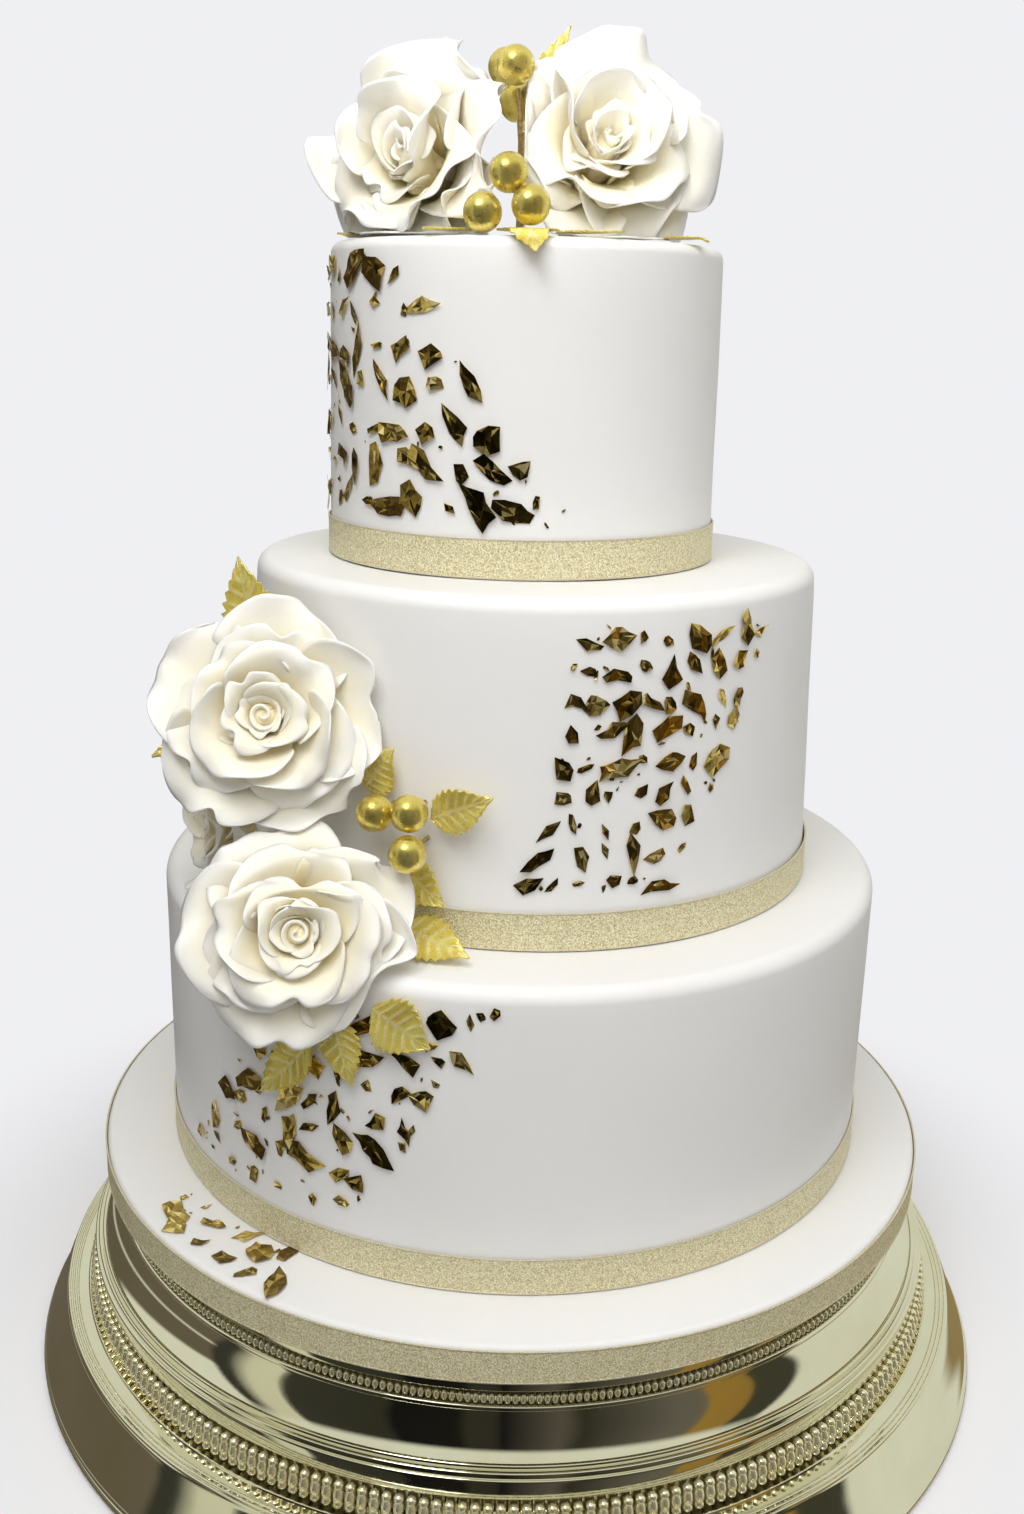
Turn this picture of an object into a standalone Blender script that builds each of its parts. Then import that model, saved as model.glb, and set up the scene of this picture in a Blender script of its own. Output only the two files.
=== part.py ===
"""Three-tier iced wedding cake with sugar roses, on its round metal stand.

Metres, +Z up. The origin is the centre of the stand's underside, and -Y is the front.
Run with: blender --background --python part.py
"""
import math
import random

import bmesh
import bpy
from mathutils import Matrix, Vector

# Driving dimensions
MM = 0.001
GAP = 0.3 * MM                    # space left between pieces that touch
SEGMENTS = 36                     # sides of every turned piece

STAND_RADIUS = 221.0 * MM         # rolled edge of the brim
STAND_HEIGHT = 92.0 * MM
PLATE_RADIUS = 178.0 * MM         # flat top that carries the board

BOARD_RADIUS = 187.0 * MM
BOARD_THICKNESS = 15.0 * MM
BOARD_EDGE_ROUND = 2.5 * MM

RIBBON_WIDTH = 15.0 * MM
RIBBON_THICKNESS = 0.7 * MM

TOP_ROUND = 6.0 * MM              # rounded upper edge of each iced tier
FLAKE_PROUD = 0.8 * MM            # how far a flake of leaf stands off the icing
FLAKE_ROOT = 1.2 * MM             # how deep its root reaches into the icing

BERRY_RADIUS = 7.0 * MM
WIRE_RADIUS = 0.9 * MM
PETAL_THICKNESS = 1.4 * MM
LEAF_THICKNESS = 1.0 * MM

BOARD_TOP = STAND_HEIGHT + BOARD_THICKNESS

# Each tier: base radius, radius below the rounded edge, height, sideways offset of its centre
TIERS = {
    "bottom": dict(base=157.2 * MM, top=157.0 * MM, height=124.5 * MM, shift=1.2 * MM),
    "middle": dict(base=122.3 * MM, top=117.6 * MM, height=132.3 * MM, shift=4.9 * MM),
    "top": dict(base=80.4 * MM, top=79.0 * MM, height=122.6 * MM, shift=-1.7 * MM),
}
level = BOARD_TOP
for tier in TIERS.values():
    tier["floor"] = level
    level += tier["height"]

# Fields of gold leaf on the tiers. Angles are in degrees from the front, positive to the right,
# and each edge is (angle at the lower height, degrees gained per millimetre of height). Only the
# largest flakes of a field are kept.
FLAKE_FIELDS = {
    "bottom": dict(low=21, high=116, left=(-58, 0.28), right=(-23, 0.19), cell=12.9, seed=31,
                   keep=14),
    "middle": dict(low=20, high=124, left=(-2, 0.09), right=(25, 0.245), cell=10.6, seed=12, keep=23),
    "top": dict(low=20, high=118, left=(-104, 0.05), right=(15, -0.51), cell=12.3, seed=5, keep=25),
}
BOARD_FIELD = dict(low=159, high=183, left=(-54, 0.0), right=(-29, 0.0), cell=11.5, seed=8, keep=6)

# Rose layers for a flower of radius 45 mm, from the outside in: base radius and height, length,
# half width, spine angle at base and tip (0 is along the axis, 90 straight out), ruffle, sheet
# columns and rows, and how far each petal lies inside the outermost of its layer.
ROSE_RADIUS = 45.0
ROSE_LAYERS = (
    dict(r0=7, z0=-2, length=44, half=27, a0=50, a1=100, ruffle=3.0, grid=(3, 2),
         nest=(0.0, 2.0, 4.0, 1.0, 3.0)),
    dict(r0=8, z0=6, length=36, half=24, a0=26, a1=76, ruffle=2.0, grid=(3, 2),
         nest=(0.0, 3.0, 1.2, 4.2)),
    dict(r0=7, z0=10, length=26, half=13, a0=4, a1=40, ruffle=0.8, grid=(3, 2),
         nest=(0.0, 2.0)),
)
PETAL_COUNTS = (5, 4, 2)
# The core's section, turned about the axis: radius and height.
ROSE_CORE = ((0.0, 32.0), (3.0, 30.0), (6.0, 16.0), (12.0, 7.0), (8.0, -4.0), (0.0, -5.0))
ROSE_CORE_SIDES = 7
PETAL_CLEAR = 4.4                 # least distance from a petal's middle to the icing under it
LEAF_CLEAR = 0.9
BERRY_KEEP_OUT = 5.2              # and from a berry's skin
WIRE_KEEP_OUT = 4.4               # and from a wire's middle line

# Roses: centre of the bud's top, direction that the flower faces, radius, twist in degrees,
# openness (less than 1 is more upright), the way its tall petals lean, the way that it bends off
# the cake, and random seed.
ROSES = {
    "rose_side_upper": dict(bud=(-92, -124, 321.5), face=(0.02, -0.94, 0.33), radius=43, twist=36, open=1.0,
                            tall=(0, 0, 0), off=(-0.6, -0.8, 0.0), seed=1),
    "rose_side_lower": dict(bud=(-76, -156, 251), face=(0.10, -0.93, 0.30), radius=43, twist=60, open=1.0,
                            tall=(0, 0, 0), off=(-0.35, -0.75, 0.55), seed=2,
                            clear=6.5),
    "rose_side_back": dict(bud=(-126, -76, 262), face=(-0.87, -0.47, 0.05), radius=28, twist=10, open=0.9,
                           tall=(0, 0, 0), off=(-0.85, -0.5, 0.1), seed=3, counts=(4, 3, 0)),
    "rose_top_left": dict(bud=(-50, -42, 519), face=(-0.46, -0.74, 0.33), radius=48, twist=36, open=0.88,
                          tall=(0.7, 0.2, 0.7), off=(0, 0, 1), seed=4),
    "rose_top_right": dict(bud=(29, -42, 525), face=(0.26, -0.84, 0.48), radius=47, twist=24, open=0.88,
                           tall=(0.2, 0.2, 0.95), off=(0, 0, 1), seed=5),
}

# Planes that keep neighbouring roses apart: a point, and the way that the named roses lie from it.
ROSE_PLANES = (
    ((-90, -122, 281), (0.0, -0.5, 0.87), ("rose_side_upper",)),
    ((-90, -122, 281), (0.0, 0.5, -0.87), ("rose_side_lower",)),
    ((-112, -100, 268), (-0.4, 0.8, -0.45), ("rose_side_back",)),
    ((-112, -100, 268), (0.4, -0.8, 0.45), ("rose_side_upper", "rose_side_lower")),
    ((-4.2, -40, 520), (-1.0, 0.0, 0.0), ("rose_top_left",)),
    ((-4.2, -40, 520), (1.0, 0.0, 0.0), ("rose_top_right",)),
)

# Gold sugar leaves: base, tip, the way the upper face looks, and greatest half width (mm).
LEAVES = {
    "leaf_side_1": dict(base=(-99, -81, 334), tip=(-108.5, -73, 369.5), up=(-0.3, -0.95, 0.0), half=11),
    "leaf_side_2": dict(base=(-57, -106.5, 289.5), tip=(-45.8, -114.5, 307), up=(-0.4, -0.9, 0.0), half=9),
    "leaf_side_3": dict(base=(-31.5, -120, 282.5), tip=(-9, -129, 293.6), up=(-0.2, -1.0, 0.1), half=8.5),
    "leaf_side_4": dict(base=(-45, -114, 263.3), tip=(-25.9, -127, 250.4), up=(-0.3, -1.0, 0.2), half=8.5),
    "leaf_side_5": dict(base=(-43, -119, 238.5), tip=(-16.4, -139, 235.8), up=(0.0, -0.75, 0.65), half=9),
    "leaf_side_6": dict(base=(-50, -150.5, 221), tip=(-29.2, -158, 209.0), up=(-0.3, -1.0, 0.2), half=11),
    "leaf_side_7": dict(base=(-65, -145, 217), tip=(-57.9, -149.5, 189), up=(-0.4, -1.0, 0.1), half=9),
    "leaf_side_8": dict(base=(-73, -140.5, 202), tip=(-94.7, -131, 175.4), up=(-0.5, -0.85, 0.1), half=8.5),
    "leaf_side_9": dict(base=(-94, -128.5, 212), tip=(-112, -120, 203), up=(-0.6, -0.8, 0.1), half=6),
    "leaf_side_10": dict(base=(-118, -70, 300), tip=(-144, -78, 291), up=(-0.5, -0.8, 0.4), half=7),
    "leaf_top_1": dict(base=(-58, -8, 488.6), tip=(-75, -27, 489), up=(0.0, 0.0, 1.0), half=8),
    "leaf_top_2": dict(base=(-22, -58, 488.6), tip=(-39, -71, 488.2), up=(0.0, 0.0, 1.0), half=6.5),
    "leaf_top_3": dict(base=(-3, -52, 488.2), tip=(1.3, -84, 485.5), up=(0.0, -0.3, 0.95), half=10.5),
    "leaf_top_4": dict(base=(9, -58, 488.6), tip=(33, -71, 488.2), up=(0.0, 0.0, 1.0), half=6.5),
    "leaf_top_5": dict(base=(50, -38, 488.6), tip=(66, -47, 488.6), up=(0.0, 0.0, 1.0), half=7),
    "leaf_top_6": dict(base=(-4, 8, 531), tip=(13.4, 6, 568.6), up=(-0.5, -0.85, 0.0), half=8),
}

# Gold berries: centres in millimetres.
BERRIES = {
    "berry_side_1": (-52.0, -123.0, 285.0),
    "berry_side_2": (-39.0, -128.5, 287.0),
    "berry_side_3": (-39.2, -134.0, 273.4),
    "berry_top_1": (-7.2, -41.5, 546.8),
    "berry_top_2": (-11.0, -22.0, 549.2),
    "berry_top_3": (-6.4, -28.0, 536.0),
    "berry_top_4": (-8.6, -68.6, 507.7),
    "berry_top_5": (-17.7, -71.0, 494.1),
    "berry_top_6": (-0.5, -72.0, 496.8),
}

# Wires, as points from root to tip. Each ends just short of what it carries.
WIRES = {
    "wire_top_1": ((-4.6, -40.0, 486.9), (-5.0, -39.0, 515.0), (-5.2, -40.5, 530.0), (-6.2, -41.2, 539.0)),
    "wire_top_2": ((-4.2, -12.0, 486.9), (-4.6, -14.0, 515.0), (-7.0, -17.0, 536.0), (-9.9, -20.2, 542.0)),
    "wire_top_3": ((-4.2, -22.0, 486.9), (-4.2, -24.0, 510.0), (-5.6, -27.0, 528.4)),
    "wire_top_4": ((-4.4, -50.0, 487.2), (-4.4, -57.0, 497.0), (-6.6, -62.6, 503.0)),
    "wire_leaf": ((-6.0, 8.0, 486.9), (-5.0, 8.6, 510.0), (-4.4, 8.2, 530.3)),
}


# Materials
def make_material(name, colour, roughness, metallic):
    material = bpy.data.materials.new(name)
    material.use_nodes = True
    shader = material.node_tree.nodes["Principled BSDF"]
    shader.inputs["Base Color"].default_value = (*colour, 1.0)
    shader.inputs["Roughness"].default_value = roughness
    shader.inputs["Metallic"].default_value = metallic
    material.diffuse_color = (*colour, 1.0)
    return material


# Scene helpers
def clear_scene():
    for item in list(bpy.data.objects):
        bpy.data.objects.remove(item)


def add_object(name, mesh, material, collection):
    item = bpy.data.objects.new(name, mesh)
    item.data.materials.append(material)
    collection.objects.link(item)
    return item


def freeze(item):
    """Replace an object's mesh by its evaluated mesh, with no modifiers left."""
    bpy.context.view_layer.update()
    evaluated = item.evaluated_get(bpy.context.evaluated_depsgraph_get())
    mesh = bpy.data.meshes.new_from_object(evaluated)
    item.modifiers.clear()
    item.data = mesh


def body_volume(faces):
    total = 0.0
    for face in faces:
        first, second, third = (vert.co for vert in face.verts)
        total += first.dot(second.cross(third)) / 6.0
    return total


def keep_main_body(mesh):
    """Drop loose scraps and fill sealed hollows: only the largest outer skin stays."""
    work = bmesh.new()
    work.from_mesh(mesh)
    bmesh.ops.triangulate(work, faces=work.faces[:])
    bodies = []
    waiting = set(work.faces)
    while waiting:
        stack = [waiting.pop()]
        body = []
        while stack:
            face = stack.pop()
            body.append(face)
            for edge in face.edges:
                for neighbour in edge.link_faces:
                    if neighbour in waiting:
                        waiting.remove(neighbour)
                        stack.append(neighbour)
        bodies.append(body)
    bodies.sort(key=body_volume)
    scraps = [face for body in bodies[:-1] for face in body]
    bmesh.ops.delete(work, geom=scraps, context="FACES")
    work.to_mesh(mesh)
    work.free()


def fuse(item, pieces, parts):
    """Join pieces to an object by one Boolean union on a collection."""
    together = bpy.data.collections.new(item.name + " pieces")
    bpy.context.scene.collection.children.link(together)
    for piece in pieces:
        parts.objects.unlink(piece)
        together.objects.link(piece)
    union = item.modifiers.new("Fused pieces", "BOOLEAN")
    union.operation = "UNION"
    union.operand_type = "COLLECTION"
    union.collection = together
    union.solver = "MANIFOLD"
    freeze(item)
    for piece in pieces:
        bpy.data.objects.remove(piece)
    bpy.data.collections.remove(together)
    keep_main_body(item.data)


def round_shading(item, angle=40.0):
    item.data.shade_smooth()
    item.data.set_sharp_from_angle(angle=math.radians(angle))


# Turned pieces
def arc(centre, radius, start, end, steps):
    """Points (r, z) on an arc, angles in degrees from +r toward +z."""
    points = []
    for index in range(steps + 1):
        angle = math.radians(start + (end - start) * index / steps)
        points.append((centre[0] + radius * math.cos(angle), centre[1] + radius * math.sin(angle)))
    return points


def oval(centre, half_width, half_height, sides):
    """A closed section that runs down its outer side."""
    points = []
    for index in range(sides):
        angle = math.radians(90.0 - 360.0 * index / sides)
        points.append((centre[0] + half_width * math.cos(angle), centre[1] + half_height * math.sin(angle)))
    return points


def turn(name, profile, material, parts, closed=False, shift=0.0, sides=SEGMENTS):
    """Turn a profile of (r, z) points, listed down its outer side, about the Z axis."""
    mesh = bpy.data.meshes.new(name)
    edges = [(index, index + 1) for index in range(len(profile) - 1)]
    if closed:
        edges.append((len(profile) - 1, 0))
    mesh.from_pydata([(r, 0.0, z) for r, z in profile], edges, [])
    item = add_object(name, mesh, material, parts)
    item.location.x = shift
    screw = item.modifiers.new("Turned", "SCREW")
    screw.axis = "Z"
    screw.angle = 2.0 * math.pi
    screw.steps = sides
    screw.render_steps = sides
    screw.use_merge_vertices = True
    screw.merge_threshold = 0.00001
    screw.use_smooth_shade = True
    return item


def ring(name, inner, outer, low, high, material, parts, shift=0.0):
    profile = [(inner, high), (outer, high), (outer, low), (inner, low)]
    return turn(name, profile, material, parts, closed=True, shift=shift)


def stand_profile():
    """Outer side of the stand, from the flat top down to the rolled foot."""
    top = STAND_HEIGHT - GAP
    points = [(0.0, top), (PLATE_RADIUS, top), (181.0 * MM, 90.5 * MM), (181.0 * MM, 84.0 * MM)]
    points += [(179.2 * MM, 82.9 * MM), (179.2 * MM, 77.3 * MM), (183.0 * MM, 76.0 * MM)]
    points += arc((191.5 * MM, 71.5 * MM), 12.0 * MM, 172.0, 262.0, 3)
    points += [(195.0 * MM, 54.5 * MM), (194.6 * MM, 46.4 * MM), (192.0 * MM, 46.0 * MM)]
    points += [(192.0 * MM, 34.0 * MM), (203.0 * MM, 32.2 * MM), (211.0 * MM, 31.0 * MM)]
    points += [(215.5 * MM, 16.0 * MM), (220.6 * MM, 5.0 * MM), (STAND_RADIUS, 2.6 * MM)]
    points += [(219.4 * MM, 0.0), (0.0, 0.0)]
    return points


def build_stand(parts, metal):
    stand = turn("stand", stand_profile(), metal, parts)
    round_shading(stand)
    turn("stand_rope", oval((195.0 * MM, 40.0 * MM), 2.6 * MM, 5.4 * MM, 5), metal, parts, closed=True)
    turn("stand_beads", oval((181.3 * MM, 80.1 * MM), 1.8 * MM, 2.3 * MM, 4), metal, parts, closed=True)


# Iced tiers and board
def tier_radius(tier, height):
    """Radius of a tier's wall at a height above its floor."""
    share = min(height / tier["height"], 1.0)
    return tier["base"] + (tier["top"] - tier["base"]) * share


def tier_profile(tier):
    floor = tier["floor"] + GAP
    top = tier["floor"] + tier["height"]
    edge = tier["top"]
    points = [(0.0, top)]
    points += arc((edge - TOP_ROUND, top - TOP_ROUND), TOP_ROUND, 90.0, 0.0, 3)
    points += [(tier["base"], floor), (0.0, floor)]
    return points


def flake_field(field, radius):
    """Flakes as (angle, height, outline): a jittered grid inside a slanted field."""
    draw = random.Random(field["seed"])
    cell = field["cell"]
    flakes = []
    rows = int((field["high"] - field["low"]) / cell)
    pitch = (field["high"] - field["low"]) / rows
    for row in range(rows):
        height = field["low"] + pitch * (row + 0.5)
        rise = height - field["low"]
        left = math.radians(field["left"][0] + field["left"][1] * rise) * radius
        right = math.radians(field["right"][0] + field["right"][1] * rise) * radius
        columns = max(1, round((right - left) / cell))
        for column in range(columns):
            across = left + (right - left) * (column + 0.5 + 0.35 * (row % 2 - 0.5)) / columns
            across += draw.uniform(-0.24, 0.24) * cell
            up = height + draw.uniform(-0.24, 0.24) * cell
            size = cell * (0.16 + 0.42 * draw.random() ** 1.4)
            outline = flake_outline(draw, size)
            flakes.append((across / radius, up, outline, size))
    return flakes


def flake_outline(draw, size):
    """An angular shard with four to seven corners, longer one way than the other."""
    corners = draw.choice((4, 5, 5, 6, 7))
    stretch = draw.uniform(1.0, 1.55)
    turn_angle = draw.uniform(0.0, math.pi)
    points = []
    for index in range(corners):
        angle = 2.0 * math.pi * (index + draw.uniform(-0.28, 0.28)) / corners
        reach = size * draw.uniform(0.62, 1.12)
        x = reach * math.cos(angle) * stretch
        y = reach * math.sin(angle) / stretch
        points.append((x * math.cos(turn_angle) - y * math.sin(turn_angle),
                       x * math.sin(turn_angle) + y * math.cos(turn_angle)))
    return points


def flake_solid(name, outline, place, material, parts):
    """A flat shard with its root in the icing; place carries its local +Z out of the surface."""
    mesh = bpy.data.meshes.new(name)
    shape = bmesh.new()
    corners = [shape.verts.new(place @ Vector((x * MM, y * MM, -FLAKE_ROOT))) for x, y in outline]
    bottom = shape.faces.new(corners)
    grown = bmesh.ops.extrude_face_region(shape, geom=[bottom])
    lifted = [part for part in grown["geom"] if isinstance(part, bmesh.types.BMVert)]
    outward = place.to_3x3() @ Vector((0.0, 0.0, FLAKE_ROOT + FLAKE_PROUD))
    bmesh.ops.translate(shape, verts=lifted, vec=outward)
    bmesh.ops.recalc_face_normals(shape, faces=shape.faces[:])
    shape.to_mesh(mesh)
    shape.free()
    return add_object(name, mesh, material, parts)


def largest(flakes, count):
    return sorted(flakes, key=lambda flake: -flake[3])[:count]


def build_tiers(parts, icing, leaf_gold, ribbon_gold):
    for name, tier in TIERS.items():
        item = turn("tier_" + name, tier_profile(tier), icing, parts, shift=tier["shift"])
        freeze(item)
        field = FLAKE_FIELDS[name]
        middle_radius = tier_radius(tier, tier["height"] * 0.5) / MM
        pieces = []
        for index, flake in enumerate(largest(flake_field(field, middle_radius), field["keep"])):
            angle, height, outline, _ = flake
            radius = tier_radius(tier, height * MM)
            spin = Matrix.Rotation(angle, 4, "Z")
            stand_up = Matrix.Rotation(math.radians(90.0), 4, "X")
            centre = Vector((0.0, -radius, tier["floor"] + height * MM))
            place = spin @ Matrix.Translation(centre) @ stand_up
            pieces.append(flake_solid("flake %d" % index, outline, place, leaf_gold, parts))
        for piece in pieces:
            piece.location.x = tier["shift"]
        fuse(item, pieces, parts)
        round_shading(item)
        low = tier["floor"] + 2.0 * GAP
        inner = tier["base"] + GAP
        ring("ribbon_" + name, inner, inner + RIBBON_THICKNESS, low, low + RIBBON_WIDTH, ribbon_gold, parts,
             shift=tier["shift"])


def build_board(parts, icing, leaf_gold, ribbon_gold):
    floor = STAND_HEIGHT
    profile = [(0.0, BOARD_TOP)]
    inset = BOARD_RADIUS - BOARD_EDGE_ROUND
    profile += arc((inset, BOARD_TOP - BOARD_EDGE_ROUND), BOARD_EDGE_ROUND, 90.0, 0.0, 2)
    profile += [(BOARD_RADIUS, floor), (0.0, floor)]
    board = turn("board", profile, icing, parts)
    freeze(board)
    pieces = []
    middle = (BOARD_FIELD["low"] + BOARD_FIELD["high"]) * 0.5
    for index, flake in enumerate(largest(flake_field(BOARD_FIELD, middle), BOARD_FIELD["keep"])):
        angle, reach, outline, _ = flake
        spin = Matrix.Rotation(angle, 4, "Z")
        place = spin @ Matrix.Translation((0.0, -reach * MM, BOARD_TOP))
        pieces.append(flake_solid("flake %d" % index, outline, place, leaf_gold, parts))
    fuse(board, pieces, parts)
    round_shading(board)
    inner = BOARD_RADIUS + GAP
    high = BOARD_TOP - BOARD_EDGE_ROUND * 0.5
    ring("board_ribbon", inner, inner + RIBBON_THICKNESS, floor, high, ribbon_gold, parts)


# Sugar roses
def facing(origin, direction, twist):
    """Frame whose +Z looks along a direction, turned about it by a twist."""
    toward = Vector(direction).normalized()
    turn_to = toward.to_track_quat("Z", "Y").to_matrix().to_4x4()
    return Matrix.Translation(origin) @ turn_to @ Matrix.Rotation(math.radians(twist), 4, "Z")


def spine_point(petal, share):
    """Radius, height and slope of a petal's middle line at a share of its length."""
    steps = 12
    radius = petal["r0"]
    height = petal["z0"]
    slope = math.radians(petal["a0"])
    for index in range(steps):
        at = share * (index + 0.5) / steps
        slope = math.radians(petal["a0"] + (petal["a1"] - petal["a0"]) * at ** 1.2)
        radius += petal["length"] * share / steps * math.sin(slope)
        height += petal["length"] * share / steps * math.cos(slope)
    return radius, height, slope


def petal_point(petal, u, v):
    """Point of a petal, u from -1 to 1 across and v from 0 at the base to 1 at the rim."""
    radius, height, slope = spine_point(petal, v * (1.0 - 0.24 * abs(u) ** 3))
    swell = math.sin(min(v / 0.66, 1.0) * math.pi / 2.0)
    narrow = 1.0 - 0.20 * max(0.0, (v - 0.66) / 0.34) ** 2
    across = u * petal["half"] * (0.20 + 0.80 * swell) * narrow
    wrap = radius / max(math.cos(slope), 0.25)
    side = wrap * math.sin(across / wrap)
    inward = wrap * (1.0 - math.cos(across / wrap))
    inward += petal["ruffle"] * v * v * math.sin(4.4 * u + petal["phase"])
    inward += petal["nest"]
    return Vector((radius - inward * math.cos(slope), side, height + inward * math.sin(slope)))


def soft_step(short, width=1.0):
    """How far to move a point that is short of its clearance, easing in smoothly."""
    return width * math.log1p(math.exp(min(short / width, 30.0)))


def cake_distance(point):
    """Distance in millimetres from a point to the iced tiers, negative inside them."""
    nearest = 1000.0
    for tier in TIERS.values():
        height = point.z - tier["floor"]
        out = math.hypot(point.x - tier["shift"], point.y) - tier_radius(tier, max(height, 0.0))
        above = height - tier["height"]
        outside = math.hypot(max(out, 0.0), max(above, 0.0))
        nearest = min(nearest, (min(max(out, above), 0.0) + outside) / MM)
    return nearest


def clear_of_cake(point, clearance, way):
    """Move a point out of the iced tiers along one way, as sugar bends where it is pressed on them."""
    toward = Vector(way).normalized()
    for _ in range(6):
        point = point + toward * soft_step(clearance - cake_distance(point), 0.8) * MM
    return point


def clear_of_ball(point, centre, radius):
    away = point - Vector(centre) * MM
    return point + away.normalized() * soft_step(radius - away.length / MM) * MM


def clear_of_wire(point, wire, radius):
    for start, end in zip(wire, wire[1:]):
        start, end = Vector(start) * MM, Vector(end) * MM
        along = end - start
        share = max(0.0, min(1.0, (point - start).dot(along) / along.length_squared))
        point = clear_of_ball(point, (start + along * share) / MM, radius)
    return point


def clear_of_neighbours(point, rose_name):
    """Bend a rose's point away from the icing, the other roses, the berries and the wires."""
    for centre in BERRIES.values():
        point = clear_of_ball(point, centre, BERRY_RADIUS / MM + BERRY_KEEP_OUT)
    for wire in WIRES.values():
        point = clear_of_wire(point, wire, WIRE_KEEP_OUT)
    for place, toward, names in ROSE_PLANES:
        if rose_name in names:
            side = Vector(toward).normalized()
            beyond = (point / MM - Vector(place)).dot(side)
            point = point + side * soft_step(1.2 - beyond) * MM
    rose = ROSES[rose_name]
    return clear_of_cake(point, rose.get("clear", PETAL_CLEAR), rose["off"])


def petal_solid(name, petal, frame, rose_name, material, parts):
    columns, rows = petal["grid"]
    points = []
    for row in range(rows + 1):
        for column in range(columns + 1):
            point = petal_point(petal, 2.0 * column / columns - 1.0, row / rows)
            points.append(clear_of_neighbours(frame @ (point * petal["scale"] * MM), rose_name))
    faces = []
    wide = columns + 1
    for row in range(rows):
        for column in range(columns):
            a = row * wide + column
            if column < columns // 2:
                faces += [(a, a + 1, a + wide), (a + 1, a + wide + 1, a + wide)]
            else:
                faces += [(a, a + 1, a + wide + 1), (a, a + wide + 1, a + wide)]
    mesh = bpy.data.meshes.new(name)
    mesh.from_pydata(points, [], faces)
    item = add_object(name, mesh, material, parts)
    shell = item.modifiers.new("Sheet", "SOLIDIFY")
    shell.thickness = PETAL_THICKNESS
    shell.offset = 0.0
    freeze(item)
    return item


def rose_petals(rose, frame):
    """Every petal of a rose as its own set of sizes, a little uneven by a seeded draw."""
    draw = random.Random(rose["seed"])
    petals = []
    start = 0.0
    for layer, count in zip(ROSE_LAYERS, rose.get("counts", PETAL_COUNTS)):
        start += 180.0 / max(count, 1) + 11.0
        for index in range(count):
            petal = dict(layer)
            petal["angle"] = start + 360.0 * index / count + draw.uniform(-5.0, 5.0)
            around = Matrix.Rotation(math.radians(petal["angle"]), 3, "Z")
            tall = (frame.to_3x3() @ around @ Vector((1.0, 0.0, 0.0))).dot(Vector(rose["tall"]))
            petal["scale"] = rose["radius"] / ROSE_RADIUS
            petal["a0"] = layer["a0"] * rose["open"] - 14.0 * tall
            petal["a1"] = layer["a1"] * rose["open"] * draw.uniform(0.94, 1.05) - 14.0 * tall
            petal["length"] = layer["length"] * draw.uniform(0.94, 1.06) * (1.0 + 0.10 * tall)
            petal["half"] = layer["half"] * draw.uniform(0.95, 1.05)
            petal["nest"] = layer["nest"][index]
            petal["phase"] = draw.uniform(-0.7, 0.7)
            petals.append(petal)
    return petals


def build_rose(name, rose, parts, material):
    scale = rose["radius"] / ROSE_RADIUS
    bud_top = Vector(rose["bud"]) * MM
    toward = Vector(rose["face"]).normalized()
    origin = bud_top - toward * ROSE_CORE[0][1] * scale * MM
    frame = facing(origin, rose["face"], rose["twist"])
    core = turn(name, [(r * scale * MM, z * scale * MM) for r, z in ROSE_CORE], material, parts,
                sides=ROSE_CORE_SIDES)
    freeze(core)
    core.data.transform(frame)
    for vert in core.data.vertices:
        vert.co = clear_of_neighbours(vert.co, name)
    pieces = []
    for index, petal in enumerate(rose_petals(rose, frame)):
        around = frame @ Matrix.Rotation(math.radians(petal["angle"]), 4, "Z")
        pieces.append(petal_solid("petal %d" % index, petal, around, name, material, parts))
    fuse(core, pieces, parts)
    round_shading(core, 55.0)


# Gold leaves
def leaf_width(share):
    """Half width of a leaf as a share of the greatest, from base to tip."""
    return math.sin(math.pi * share ** 0.8) ** 0.85


def build_leaf(name, leaf, parts, material):
    base = Vector(leaf["base"]) * MM
    along = Vector(leaf["tip"]) * MM - base
    up = Vector(leaf["up"])
    up = (up - up.project(along)).normalized()
    side = along.normalized().cross(up)
    half = leaf["half"] * MM
    rows = 4
    points = [base]
    for row in range(1, rows):
        share = row / rows
        arch = 1.0 * MM * math.sin(math.pi * share) + 0.4 * MM * math.sin(3.0 * math.pi * share)
        spine = base + along * share + up * arch
        width = half * leaf_width(share)
        for lane in (-1, 0, 1):
            points.append(spine + side * width * lane + up * 0.16 * width * abs(lane))
    points.append(base + along)
    faces = [(0, 2, 1), (0, 3, 2)]
    for row in range(rows - 2):
        a = 1 + 3 * row
        faces += [(a, a + 1, a + 3), (a + 1, a + 4, a + 3), (a + 1, a + 2, a + 5), (a + 1, a + 5, a + 4)]
    last = len(points) - 1
    faces += [(last - 3, last - 2, last), (last - 2, last - 1, last)]
    mesh = bpy.data.meshes.new(name)
    mesh.from_pydata(points, [], faces)
    item = add_object(name, mesh, material, parts)
    for vert in mesh.vertices:
        vert.co = clear_of_cake(vert.co, LEAF_CLEAR, leaf["up"])
    shell = item.modifiers.new("Sheet", "SOLIDIFY")
    shell.thickness = LEAF_THICKNESS
    shell.offset = 0.0
    return item


# Berries and their wires
def build_berry(name, centre, parts, material):
    mesh = bpy.data.meshes.new(name)
    ball = bmesh.new()
    bmesh.ops.create_uvsphere(ball, u_segments=8, v_segments=5, radius=BERRY_RADIUS)
    ball.to_mesh(mesh)
    ball.free()
    item = add_object(name, mesh, material, parts)
    item.location = Vector(centre) * MM
    round_shading(item)
    return item


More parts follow.
